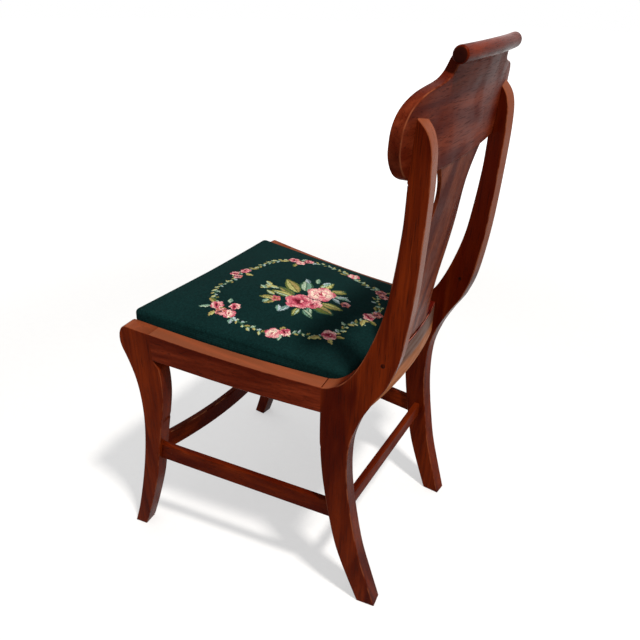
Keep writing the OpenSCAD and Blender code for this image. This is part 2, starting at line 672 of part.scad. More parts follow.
// A closed skin over rings that follow one another, with a point at each end
module ring_body(rings, start, end) {
    n = len(rings[0]);
    last = len(rings) - 1;
    polyhedron(concat([for (g = rings) for (p = g) p], [start, end]), concat(
        [for (j = [0 : last - 1]) for (i = [0 : n - 1])
            [j * n + i, (j + 1) * n + i, (j + 1) * n + (i + 1) % n]],
        [for (j = [0 : last - 1]) for (i = [0 : n - 1])
            [j * n + i, (j + 1) * n + (i + 1) % n, j * n + (i + 1) % n]],
        [for (i = [0 : n - 1]) [i, (i + 1) % n, (last + 1) * n]],
        [for (i = [0 : n - 1]) [last * n + (i + 1) % n, last * n + i, (last + 1) * n + 1]]
    ));
}
function crown_point(inset) = [seat_middle[0], seat_middle[1], cushion_top(inset) + crown_h];

// Seat frame: four members, half lapped at the corners
frame_inset = cover_t + fit;
frame_z = -frame_drop - frame_t;
module seat_prism(inset, z0, z1) {
    translate([0, 0, z0]) linear_extrude(z1 - z0) polygon(seat_outline(inset));
}
module member_strip(y0, y1) { polygon([[-front_w, y0], [front_w, y0], [front_w, y1], [-front_w, y1]]); }
module side_strip() {
    y0 = seat_y0 - over;
    y1 = seat_y1 + over;
    polygon([
        [seat_half(y0) - frame_w, y0], [seat_half(y0) + over, y0],
        [seat_half(y1) + over, y1], [seat_half(y1) - frame_w, y1]
    ]);
}
module end_member(y0, y1) {
    difference() {
        intersection() {
            seat_prism(frame_inset, frame_z, -frame_drop);
            translate([0, 0, frame_z - over]) linear_extrude(frame_t + 2 * over) member_strip(y0, y1);
        }
        both_sides() translate([0, 0, frame_z + frame_t / 2]) linear_extrude(frame_t) side_strip();
        tack_holes();
    }
}
module side_member() {
    difference() {
        intersection() {
            seat_prism(frame_inset, frame_z, -frame_drop);
            translate([0, 0, frame_z - over]) linear_extrude(frame_t + 2 * over) side_strip();
        }
        translate([0, 0, frame_z - over]) linear_extrude(frame_t / 2 + over) {
            member_strip(seat_y0 - over, seat_y0 + frame_w);
            member_strip(seat_y1 - frame_w, seat_y1 + over);
        }
        tack_holes();
    }
}

// Tacks that hold the dust cover and the cover's hem under the frame
dust_inset = 30;
tack_inset = 35;
hem_w = 39;
tack_head_t = 0.9;
tack_shank_d = tack_head_d / 4;
front_tack_shares = [-0.8, -0.4, 0, 0.4, 0.8];
back_tack_shares = [-0.7, 0, 0.7];
side_tack_shares = [0.28, 0.5, 0.72];
tack_places = concat(
    [for (s = front_tack_shares) [s * (seat_half(seat_y0) - frame_w), seat_y0 + tack_inset]],
    [for (s = back_tack_shares) [s * (seat_half(seat_y1) - frame_w), seat_y1 - tack_inset]],
    [for (s = side_tack_shares) for (m = [-1, 1])
        let (y = seat_y0 + s * (seat_y1 - seat_y0)) [m * (seat_half(y) - tack_inset), y]]
);
tack_seat_z = frame_z - fit - cover_t - dust_t;
module tack_holes() {
    for (p = tack_places) translate([p[0], p[1], tack_seat_z - over])
        cylinder(d = tack_shank_d + 2 * fit, h = tack_l + over + fit, $fn = 8);
}

// Webbing and hessian over the frame
webbing_z = -frame_drop;
webbing_end = 14;
along_shares = [-0.6, 0, 0.6];
across_shares = [0.24, 0.5, 0.76];
hessian_z = webbing_z + 2 * webbing_t;
pad_z = hessian_z + hessian_t + rest_gap;
// Room between the stuffing and the cover
pad_gap = 0.6;

module front_leg() {
    color(mahogany) difference() {
        side_plank(front_leg_points);
        side_stretcher(fit);
        front_stretcher_bar(fit);
        side_rail_dowels_left(dowel_d + 2 * fit, dowel_l + 2 * fit);
        cross_rail_dowels_left(dowel_d + 2 * fit, dowel_l + 2 * fit);
        front_block_screws(fit);
    }
}
module rear_post() {
    color(mahogany) difference() {
        side_plank(rear_post_points);
        crest_board(fit);
        side_stretcher(fit);
        rear_stretcher_bar(fit);
        side_rail_dowels_left(dowel_d + 2 * fit, dowel_l + 2 * fit);
        cross_rail_dowels_left(dowel_d + 2 * fit, dowel_l + 2 * fit);
        crest_dowels_left(dowel_d + 2 * fit, crest_dowel_l + fit);
        side_pin(peg_y, peg_z, -over, plank_t + over, peg_d);
        rear_block_screws(fit);
    }
}
module post_peg() { color(dark_wood) side_pin(peg_y, peg_z, 0, plank_t, peg_d - 2 * fit); }
module side_rail() {
    color(mahogany) difference() {
        side_plank(side_rail_points);
        side_rail_dowels_left(dowel_d + 2 * fit, dowel_l + 2 * fit);
        cleat_screw_set(fit);
        front_block_screws(fit);
        rear_block_screws(fit);
    }
}
module front_rail() {
    color(mahogany) difference() {
        intersection() {
            room(front_rail_y, front_rail_back_y, front_rail_z, front_rail_top);
            translate([-front_w, 0, 0]) rotate([90, 0, 90])
                linear_extrude(2 * front_w) polygon(front_rail_points);
        }
        both_sides() {
            cross_rail_dowels_left(dowel_d + 2 * fit, dowel_l + 2 * fit);
            front_block_screws(fit);
        }
    }
}
module rear_rail() {
    color(pale_wood) difference() {
        bowed_room(rear_rail_front_y, rear_rail_z, rear_rail_top);
        both_sides() {
            cross_rail_dowels_left(dowel_d + 2 * fit, dowel_l + 2 * fit);
            rear_block_screws(fit);
        }
    }
}
module splat_shoe() {
    color(dark_wood) difference() {
        bowed_room(rear_rail_end_y - shoe_d, rear_rail_top, shoe_top);
        splat_housing(splat_half[len(splat_half) - 1][0] + fit, -splat_root, shoe_t);
    }
}
module crest_rail() {
    color(mahogany) difference() {
        intersection() {
            crest_board();
            crest_blank();
        }
        crest_roll_body(fit, 2 * roll_angle);
        splat_housing(splat_half[0][0] + fit, splat_l - groove_d, splat_l + groove_d + fit);
        both_sides() crest_dowels_left(dowel_d + 2 * fit);
    }
}
module crest_roll() { color(mahogany) crest_roll_body(); }
module splat() {
    half = spline(splat_half, curve_steps);
    foot = half[len(half) - 1];
    outline = concat([[half[0][0], splat_l + groove_d]], half, [[foot[0], -splat_root]]);
    color(mahogany) intersection() {
        splat_slab(concat(outline, [for (p = reversed(outline)) [-p[0], p[1]]]));
        translate([-front_w, joint_back_y, rear_rail_top + fit]) cube([2 * front_w, post_reach, overall_h]);
    }
}
module front_stretcher() { color(mahogany) front_stretcher_bar(); }
module rear_stretcher() { color(mahogany) rear_stretcher_bar(); }
module side_stretcher_node() { color(mahogany) side_stretcher(); }
module side_rail_dowels() { color(pale_wood) both_sides() side_rail_dowels_left(); }
module cross_rail_dowels() { color(pale_wood) both_sides() cross_rail_dowels_left(); }
module crest_dowels() { color(pale_wood) both_sides() crest_dowels_left(); }
module corner_block_front() {
    color(pale_wood) difference() {
        corner_block(front_rail_back_y, 1, front_block_z);
        front_block_screws(fit, block_l);
    }
}
module corner_block_rear() {
    color(pale_wood) difference() {
        corner_block(rear_rail_front_y, -1, rear_block_z);
        rear_block_screws(fit, block_l);
    }
}
module corner_block_screws() {
    color(steel) both_sides() {
        front_block_screws();
        rear_block_screws();
    }
}
module seat_cleat() {
    color(pale_wood) difference() {
        side_plank([
            [cleat_y0, seat_under(cleat_y0) - rest_gap - cleat_h],
            [cleat_y1, seat_under(cleat_y1) - rest_gap - cleat_h],
            [cleat_y1, seat_under(cleat_y1) - rest_gap],
            [cleat_y0, seat_under(cleat_y0) - rest_gap]
        ], cleat_w, plank_t);
        cleat_screw_set(fit, cleat_w);
    }
}
module cleat_screws() { color(steel) both_sides() cleat_screw_set(); }
module seat_frame_front() { color(pale_wood) seat_place() end_member(seat_y0, seat_y0 + frame_w); }
module seat_frame_back() { color(pale_wood) seat_place() end_member(seat_y1 - frame_w, seat_y1); }
module seat_frame_side() { color(pale_wood) seat_place() side_member(); }
module seat_webbing_along() {
    color(linen) seat_place() for (s = along_shares)
        translate([s * seat_half(seat_y1) - webbing_w / 2, seat_y0 + webbing_end, webbing_z])
            cube([webbing_w, seat_y1 - seat_y0 - 2 * webbing_end, webbing_t]);
}
module seat_webbing_across() {
    color(linen) seat_place() for (s = across_shares) {
        y = seat_y0 + s * (seat_y1 - seat_y0);
        x = seat_half(y + webbing_w / 2) - webbing_end;
        translate([-x, y - webbing_w / 2, webbing_z + webbing_t]) cube([2 * x, webbing_w, webbing_t]);
    }
}
module seat_hessian() { color(linen) seat_place() seat_prism(webbing_end, hessian_z, hessian_z + hessian_t); }
module seat_pad() {
    inset = cover_t + pad_gap;
    color(linen) seat_place()
        ring_body(cushion_rings(inset, [pad_z]), [seat_middle[0], seat_middle[1], pad_z], crown_point(inset));
}
module seat_cover() {
    hem = seat_outline(hem_w);
    color(needlepoint) seat_place() ring_body(concat(
        reversed(cushion_rings(cover_t, [-frame_drop, pad_z])),
        [ring(seat_outline(cover_t), 1, cover_t - seat_below)],
        [ring(hem, 1, cover_t - seat_below), ring(hem, 1, -seat_below)],
        [ring(seat_outline(0), 1, -seat_below)],
        cushion_rings(0, [-frame_drop, pad_z])
    ), crown_point(cover_t), crown_point(0));
}
module seat_dust_cover() {
    color(black_cloth) seat_place() difference() {
        seat_prism(dust_inset, tack_seat_z, tack_seat_z + dust_t);
        tack_holes();
    }
}
module seat_tacks() {
    color(steel) seat_place() for (p = tack_places) translate([p[0], p[1], tack_seat_z]) {
        cylinder(d = tack_shank_d, h = tack_l, $fn = 16);
        translate([0, 0, -tack_head_t]) cylinder(d = tack_head_d, h = tack_head_t, $fn = 16);
    }
}

front_leg();  // front_leg_left
right_side() front_leg();  // front_leg_right
rear_post();  // rear_post_left
right_side() rear_post();  // rear_post_right
side_rail();  // side_rail_left
right_side() side_rail();  // side_rail_right
front_rail();
rear_rail();
splat_shoe();
crest_rail();
crest_roll();
splat();
front_stretcher();
rear_stretcher();
side_stretcher_node();  // side_stretcher_left
right_side() side_stretcher_node();  // side_stretcher_right
side_rail_dowels();
cross_rail_dowels();
crest_dowels();
post_peg();  // post_peg_left
right_side() post_peg();  // post_peg_right
corner_block_front();  // corner_block_front_left
right_side() corner_block_front();  // corner_block_front_right
corner_block_rear();  // corner_block_rear_left
right_side() corner_block_rear();  // corner_block_rear_right
corner_block_screws();
seat_cleat();  // seat_cleat_left
right_side() seat_cleat();  // seat_cleat_right
cleat_screws();
seat_frame_front();
seat_frame_back();
seat_frame_side();  // seat_frame_left
right_side() seat_frame_side();  // seat_frame_right
seat_webbing_along();
seat_webbing_across();
seat_hessian();
seat_pad();
seat_cover();
seat_dust_cover();
seat_tacks();
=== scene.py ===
"""Empire side chair: sabre legs, a bowed crest, a vase splat and a drop-in needlepoint seat."""

import logging
import math
from collections.abc import Callable, Iterator, Mapping, Sequence
from contextlib import contextmanager
from dataclasses import dataclass
from enum import Enum

import bmesh
import bpy
import numpy as np
from mathutils import Matrix, Vector
from mathutils.kdtree import KDTree


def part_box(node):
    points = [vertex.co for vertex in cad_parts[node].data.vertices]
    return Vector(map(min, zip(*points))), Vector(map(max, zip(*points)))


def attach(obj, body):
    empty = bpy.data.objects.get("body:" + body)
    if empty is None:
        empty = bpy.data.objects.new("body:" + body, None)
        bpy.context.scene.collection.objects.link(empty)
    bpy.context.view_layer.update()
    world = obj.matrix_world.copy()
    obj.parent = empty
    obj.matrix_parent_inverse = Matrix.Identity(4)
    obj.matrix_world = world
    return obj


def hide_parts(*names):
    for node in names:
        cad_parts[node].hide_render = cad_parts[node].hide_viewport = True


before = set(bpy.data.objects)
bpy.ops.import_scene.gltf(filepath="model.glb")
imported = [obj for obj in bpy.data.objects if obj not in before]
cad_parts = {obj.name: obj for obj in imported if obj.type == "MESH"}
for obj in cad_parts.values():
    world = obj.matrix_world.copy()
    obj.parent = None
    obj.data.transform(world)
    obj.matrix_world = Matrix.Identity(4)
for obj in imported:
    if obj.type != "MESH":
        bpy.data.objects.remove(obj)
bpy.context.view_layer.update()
log = logging.getLogger("chair")
Socket = bpy.types.NodeSocket
Point = Sequence[float]

ALIKE, STRAIGHT, MOSTLY = 0.99, 0.999, 0.85  # how well two directions agree, as a cosine
HAIR = 1e-6  # points nearer than this, in metres, are one
MERGED = 1e-5  # corners of a CAD mesh nearer than this, in metres, are merged
WORN_TURN = (0.35, 0.75)  # how sharply, in radians, the strips of a rounded arris meet
STRIP_CORNERS = 6  # a face with more corners than this is a flat side and no strip


class Side(Enum):
    """The two sides of the chair, by the sitter's hands."""

    LEFT = 1
    RIGHT = -1

    @property
    def word(self) -> str:
        """The side's name, as the nodes spell it."""
        return self.name.lower()


class Body(Enum):
    """The bodies that pieces move with."""

    CHAIR = "chair_frame"
    SEAT = "slip_seat"


class Slot(Enum):
    """The record's material slots, passed along with each new piece."""

    MAHOGANY = "mahogany"
    DARK_WOOD = "dark_wood"
    PALE_WOOD = "pale_wood"
    NEEDLEPOINT = "needlepoint"
    LINEN = "linen"
    BLACK_CLOTH = "black_cloth"


class Way(Enum):
    """The two ways that webbing runs over the seat's frame."""

    ALONG = "along"
    ACROSS = "across"


class Grain(Enum):
    """The way that the grain runs through a piece."""

    ACROSS = 0
    DEEP = 1
    UPRIGHT = 2

    def drawn_out(self, share: float) -> tuple[float, ...]:
        """Scales for a pattern that is drawn out along the grain.

        Args:
            share: The pattern's scale along the grain, against 1 across it.

        Returns:
            One scale for each axis.
        """
        return tuple(share if axis == self.value else 1.0 for axis in range(3))


@dataclass(frozen=True)
class Tone:
    """A colour as a screen shows it, each channel from 0 to 255."""

    red: float
    green: float
    blue: float

    def linear(self) -> tuple[float, float, float, float]:
        """The colour as the shaders take it."""
        return (*(self._channel(v / 255) for v in (self.red, self.green, self.blue)), 1.0)

    @staticmethod
    def _channel(v: float) -> float:
        """One channel without the screen's curve."""
        return v / 12.92 if v <= 0.04045 else ((v + 0.055) / 1.055) ** 2.4


class Nodes:
    """A tree of shader nodes, put down one by one."""

    def __init__(self, tree: bpy.types.NodeTree) -> None:
        """Empty a tree and keep it."""
        tree.nodes.clear()
        self.tree = tree

    def put(self, kind: str, inputs: Mapping | None = None, **settings: object) -> bpy.types.Node:
        """Add a node.

        Args:
            kind: The node's type, without the word ShaderNode.
            inputs: A value or another node's socket for each input, by name or number.
            settings: The node's own options.

        Returns:
            The node.
        """
        node = self.tree.nodes.new("ShaderNode" + kind)
        for key, value in settings.items():
            setattr(node, key, value)
        for key, value in (inputs or {}).items():
            self.feed(node.inputs[key], value)
        return node

    def feed(self, socket: Socket, value: object) -> None:
        """Link a socket to another, or give it a value.

        Args:
            socket: An input.
            value: Another node's socket, or a plain value.
        """
        if isinstance(value, Socket):
            self.tree.links.new(value, socket)
        else:
            socket.default_value = value

    def place(self) -> Socket:
        """Where a point lies on the piece, in metres."""
        return self.put("TexCoord").outputs["Object"]

    def mapped(self, place: Socket, scale: Point, shift: Point = (0, 0, 0)) -> Socket:
        """Stretched and shifted coordinates."""
        return self.put("Mapping", {"Vector": place, "Scale": scale, "Location": shift}).outputs[0]

    def noise(self, place: Socket, scale: float, detail: float = 2.0, bend: float = 0.0) -> Socket:
        """Soft noise from 0 to 1, mostly near a half."""
        inputs = {"Vector": place, "Scale": scale, "Detail": detail, "Distortion": bend}
        return self.put("TexNoise", inputs).outputs["Fac"]

    def sum(self, way: str, a: object, b: object = 0.0, clamp: bool = False) -> Socket:
        """Arithmetic on one or two values."""
        return self.put("Math", {0: a, 1: b}, operation=way, use_clamp=clamp).outputs[0]

    def times(self, a: object, b: object, clamp: bool = False) -> Socket:
        """The product of two values."""
        return self.sum("MULTIPLY", a, b, clamp)

    def span(self, value: object, low: float, high: float,
             out_low: float = 0.0, out_high: float = 1.0) -> Socket:
        """A value moved smoothly from one span to another, and held at its ends.

        Args:
            value: The value.
            low: The first span's low end.
            high: Its high end.
            out_low: The second span's low end.
            out_high: Its high end.

        Returns:
            The moved value.
        """
        ends = {"From Min": low, "From Max": high, "To Min": out_low, "To Max": out_high}
        node = self.put("MapRange", {"Value": value, **ends}, interpolation_type="SMOOTHSTEP")
        return node.outputs[0]

    def mix(self, share: object, a: object, b: object, way: str = "MIX") -> Socket:
        """Two colours, mixed by a share."""
        inputs = {0: share, 6: self._colour(a), 7: self._colour(b)}
        return self.put("Mix", inputs, data_type="RGBA", blend_type=way).outputs[2]

    def over(self, body: object, tone: object, share: object, strength: float) -> Socket:
        """A colour with another laid over it by a share, at a strength."""
        return self.mix(self.times(share, strength), body, tone)

    @staticmethod
    def _colour(value: object) -> object:
        """A tone as a shader's colour, and anything else as it is."""
        return value.linear() if isinstance(value, Tone) else value

    def relief(self, height: Socket, strength: float, depth: float) -> Socket:
        """Fine relief, as a normal."""
        inputs = {"Height": height, "Strength": strength, "Distance": depth}
        return self.put("Bump", inputs).outputs[0]

    def arris(self) -> Socket:
        """How far a point lies on an eased arris, from 0 to 1, where the piece marks them."""
        return self.put("Attribute", attribute_name="arris").outputs["Fac"]


class Recipe(Nodes):
    """The nodes of one material, round a principled shader."""

    def __init__(self, name: str) -> None:
        """Start an empty material.

        Args:
            name: The material's name.
        """
        self.material = bpy.data.materials.new(name)
        self.material.use_nodes = True
        super().__init__(self.material.node_tree)
        self.shader = self.put("BsdfPrincipled")
        self.output = self.put("OutputMaterial", {0: self.shader.outputs[0]})

    def finish(self, **inputs: object) -> bpy.types.Material:
        """Feed the principled shader.

        Args:
            inputs: A value or socket for each of the shader's inputs, with _ for a space.

        Returns:
            The material.
        """
        for key, value in inputs.items():
            self.feed(self.shader.inputs[key.replace("_", " ")], value)
        return self.material


@dataclass(frozen=True)
class Mahogany:
    """Old French-polished mahogany, rubbed on its arrises, with painted light on its upward faces
    and upper back faces.
    """

    name: str
    grain: Grain
    deep: Tone = Tone(66, 12, 2)
    warm: Tone = Tone(112, 38, 8)
    # The tone of rubbed arrises, also the tone of the painted light on upward and backward faces.
    rubbed_and_lit: Tone = Tone(158, 92, 60)
    pores: Tone = Tone(30, 8, 5)
    ends: Tone = Tone(34, 10, 6)
    wear: float = 0.42
    gloss: float = 0.24
    end_grain: float = 0.0
    # How strongly light is painted onto faces that look up, and onto back faces above the height
    # span that follows.
    painted_light: float = 0.0
    painted_light_above: tuple[float, float] = (0.40, 0.50)
    shift: tuple[float, float, float] = (0.0, 0.0, 0.0)

    def build(self) -> bpy.types.Material:
        """Lay figure, streaks, pores and worn arrises under the polish, and paint light onto the
        faces that look up or back.

        Returns:
            The material.
        """
        r = Recipe(self.name)
        place = r.place()
        broad = r.mapped(place, self.grain.drawn_out(0.16), self.shift)
        fine = r.mapped(place, self.grain.drawn_out(0.035), self.shift)
        figure = r.span(r.noise(broad, 24.0, 3.0, 0.8), 0.32, 0.68)
        streak = r.span(r.noise(fine, 210.0, 3.0, 0.3), 0.36, 0.66)
        pore = r.span(r.noise(fine, 950.0, 1.0), 0.56, 0.70)
        body = r.mix(figure, self.deep, self.warm)
        body = r.over(body, self.deep, streak, 0.42)
        body = r.over(body, self.pores, pore, 0.55)
        facing = r.put("SeparateXYZ", {0: r.put("NewGeometry").outputs["Normal"]}).outputs
        cut = r.span(r.sum("ABSOLUTE", facing[self.grain.value]), 0.80, 0.96)
        body = r.over(body, self.ends, cut, self.end_grain)
        # Painted light: faces that look up, and back faces above a height, are lightened towards
        # the rubbed tone.
        above = r.span(r.put("SeparateXYZ", {0: place}).outputs["Z"], *self.painted_light_above)
        lit_side = r.span(r.sum("ADD", facing["Z"], r.times(facing["Y"], above)), 0.60, 0.92)
        body = r.over(body, self.rubbed_and_lit, lit_side, self.painted_light)
        rub = r.span(r.noise(place, 38.0, 4.0), 0.40, 0.60)
        nick = r.span(r.noise(place, 330.0, 2.0), 0.72, 0.80)
        body = r.mix(r.times(r.arris(), r.times(rub, self.wear), True), body, self.rubbed_and_lit)
        body = r.over(body, self.rubbed_and_lit, r.times(nick, rub), self.wear * 0.6)
        haze = r.span(r.noise(place, 16.0, 3.0), 0.35, 0.70, self.gloss - 0.06, self.gloss + 0.12)
        rough = r.sum("ADD", haze, r.times(pore, 0.12))
        grooves = r.sum("SUBTRACT", r.times(streak, 0.5), pore)
        return r.finish(
            Base_Color=body,
            Roughness=rough,
            Specular_IOR_Level=0.016,
            Normal=r.relief(grooves, 0.10, 0.0003),
        )


@dataclass(frozen=True)
class BareWood:
    """Secondary wood that was never polished, brown with age and handling."""

    name: str
    grain: Grain
    pale: Tone = Tone(176, 122, 74)
    dark: Tone = Tone(116, 70, 38)
    grime: float = 0.35

    def build(self) -> bpy.types.Material:
        """Lay growth rings and grime on the wood.

        Returns:
            The material.
        """
        r = Recipe(self.name)
        place = r.place()
        fine = r.mapped(place, self.grain.drawn_out(0.04))
        rings = r.span(r.noise(fine, 120.0, 4.0, 0.4), 0.35, 0.65)
        fleck = r.span(r.noise(fine, 620.0, 1.0), 0.60, 0.72)
        stain = r.span(r.noise(place, 14.0, 4.0), 0.42, 0.70)
        body = r.mix(rings, self.pale, self.dark)
        body = r.over(body, Tone(70, 40, 24), fleck, 0.5)
        body = r.over(body, Tone(60, 44, 36), stain, self.grime)
        return r.finish(
            Base_Color=body,
            Roughness=r.span(rings, 0.0, 1.0, 0.62, 0.78),
            Specular_IOR_Level=0.15,
            Normal=r.relief(r.sum("ADD", rings, fleck), 0.25, 0.0004),
        )


@dataclass(frozen=True)
class SunlitRail:
    """Back of the rear rail: painted sunlight in tan below, fading into painted shadow of the crest
    in grey towards its top.
    """

    name: str
    low: float
    high: float
    painted_sun_tan: Tone = Tone(156, 92, 48)
    painted_shadow_grey: Tone = Tone(88, 60, 48)

    def build(self) -> bpy.types.Material:
        """Fade the painted sunlight into the painted shadow up the rail, with long grain over both.

        Returns:
            The material.
        """
        r = Recipe(self.name)
        place = r.place()
        height = r.put("SeparateXYZ", {0: place}).outputs[2]
        fine = r.mapped(place, Grain.ACROSS.drawn_out(0.04))
        grain = r.span(r.noise(fine, 170.0, 4.0, 0.3), 0.34, 0.66)
        drift = r.times(r.sum("SUBTRACT", r.noise(place, 12.0, 3.0), 0.5), 0.016)
        # Painted shadow of the crest above this height span, painted sunlight below it.
        rise = r.span(r.sum("ADD", height, drift), self.low, self.high)
        body = r.mix(rise, self.painted_sun_tan, self.painted_shadow_grey)
        body = r.over(body, Tone(78, 42, 26), grain, 0.35)
        return r.finish(
            Base_Color=body,
            Roughness=r.span(grain, 0.0, 1.0, 0.50, 0.66),
            Specular_IOR_Level=0.1,
            Normal=r.relief(grain, 0.18, 0.0004),
        )


@dataclass(frozen=True)
class DullSteel:
    """Old screws and tacks, dulled and spotted with rust."""

    name: str = "dull_steel"

    def build(self) -> bpy.types.Material:
        """Spot the metal with rust.

        Returns:
            The material.
        """
        r = Recipe(self.name)
        place = r.place()
        rust = r.span(r.noise(place, 420.0, 3.0), 0.48, 0.66)
        body = r.mix(rust, Tone(150, 148, 142), Tone(98, 62, 42))
        return r.finish(
            Base_Color=body,
            Metallic=r.sum("SUBTRACT", 1.0, rust),
            Roughness=r.span(rust, 0.0, 1.0, 0.38, 0.8),
            Normal=r.relief(r.noise(place, 900.0, 2.0), 0.2, 0.0002),
        )


@dataclass(frozen=True)
class WovenCloth:
    """A plain weave of two sets of threads, seen in relief."""

    name: str
    pitch: float
    light: Tone
    dark: Tone
    raised: float = 0.0005

    def build(self) -> bpy.types.Material:
        """Cross two sets of threads, with slubs in both.

        Returns:
            The material.
        """
        r = Recipe(self.name)
        place = r.place()
        parts = r.put("SeparateXYZ", {0: place}).outputs
        step = math.pi / self.pitch
        warp = r.sum("SINE", r.times(parts[0], step))
        weft = r.sum("SINE", r.times(parts[1], step))
        over = r.span(r.times(warp, weft), -0.5, 0.5)
        ridge = r.sum("ADD", r.sum("ABSOLUTE", warp), r.sum("ABSOLUTE", weft))
        slub = r.span(r.noise(place, 0.5 / self.pitch, 3.0), 0.35, 0.65)
        body = r.over(self.light, self.dark, over, 0.6)
        body = r.over(body, self.dark, slub, 0.3)
        return r.finish(
            Base_Color=body,
            Roughness=0.92,
            Specular_IOR_Level=0.15,
            Sheen_Weight=0.1,
            Normal=r.relief(r.sum("ADD", ridge, slub), 0.5, self.raised),
        )


@dataclass(frozen=True)
class Needlepoint:
    """Tent stitch in wool: one colour and one slanting bead of yarn for each stitch."""

    name: str = "needlepoint"
    colours: str = "wool"

    def build(self) -> bpy.types.Material:
        """Raise a slanting stitch in each cell of the canvas, coloured by its wool, with painted
        shade between the stitches.

        Returns:
            The material.
        """
        r = Recipe(self.name)
        wool = r.put("Attribute", attribute_name=self.colours).outputs["Color"]
        cells = r.put("UVMap", uv_map="stitches").outputs[0]
        u, v, _ = r.put("SeparateXYZ", {0: cells}).outputs
        a = r.sum("SUBTRACT", r.sum("FRACT", u), 0.5)
        b = r.sum("SUBTRACT", r.sum("FRACT", v), 0.5)
        across = r.sum("POWER", r.times(r.sum("SUBTRACT", a, b), 1.15), 2.0)
        along = r.sum("POWER", r.times(r.sum("ADD", a, b), 0.8), 2.0)
        bead = r.sum("SUBTRACT", 1.0, r.sum("ADD", across, along), True)
        fuzz = r.noise(r.place(), 2600.0, 2.0)
        # Painted shade: the hollows between the beads of yarn are darkened towards near black.
        stitch_gap_shade = r.times(r.span(bead, 0.30, 0.80, 1.0, 0.0), 0.55)
        body = r.mix(stitch_gap_shade, wool, Tone(6, 12, 12))
        body = r.mix(0.22, body, r.mix(fuzz, Tone(70, 70, 70), Tone(190, 190, 190)), "OVERLAY")
        return r.finish(
            Base_Color=body,
            Roughness=0.95,
            Specular_IOR_Level=0.03,
            Normal=r.relief(r.sum("ADD", bead, r.times(fuzz, 0.3)), 0.55, 0.0007),
        )


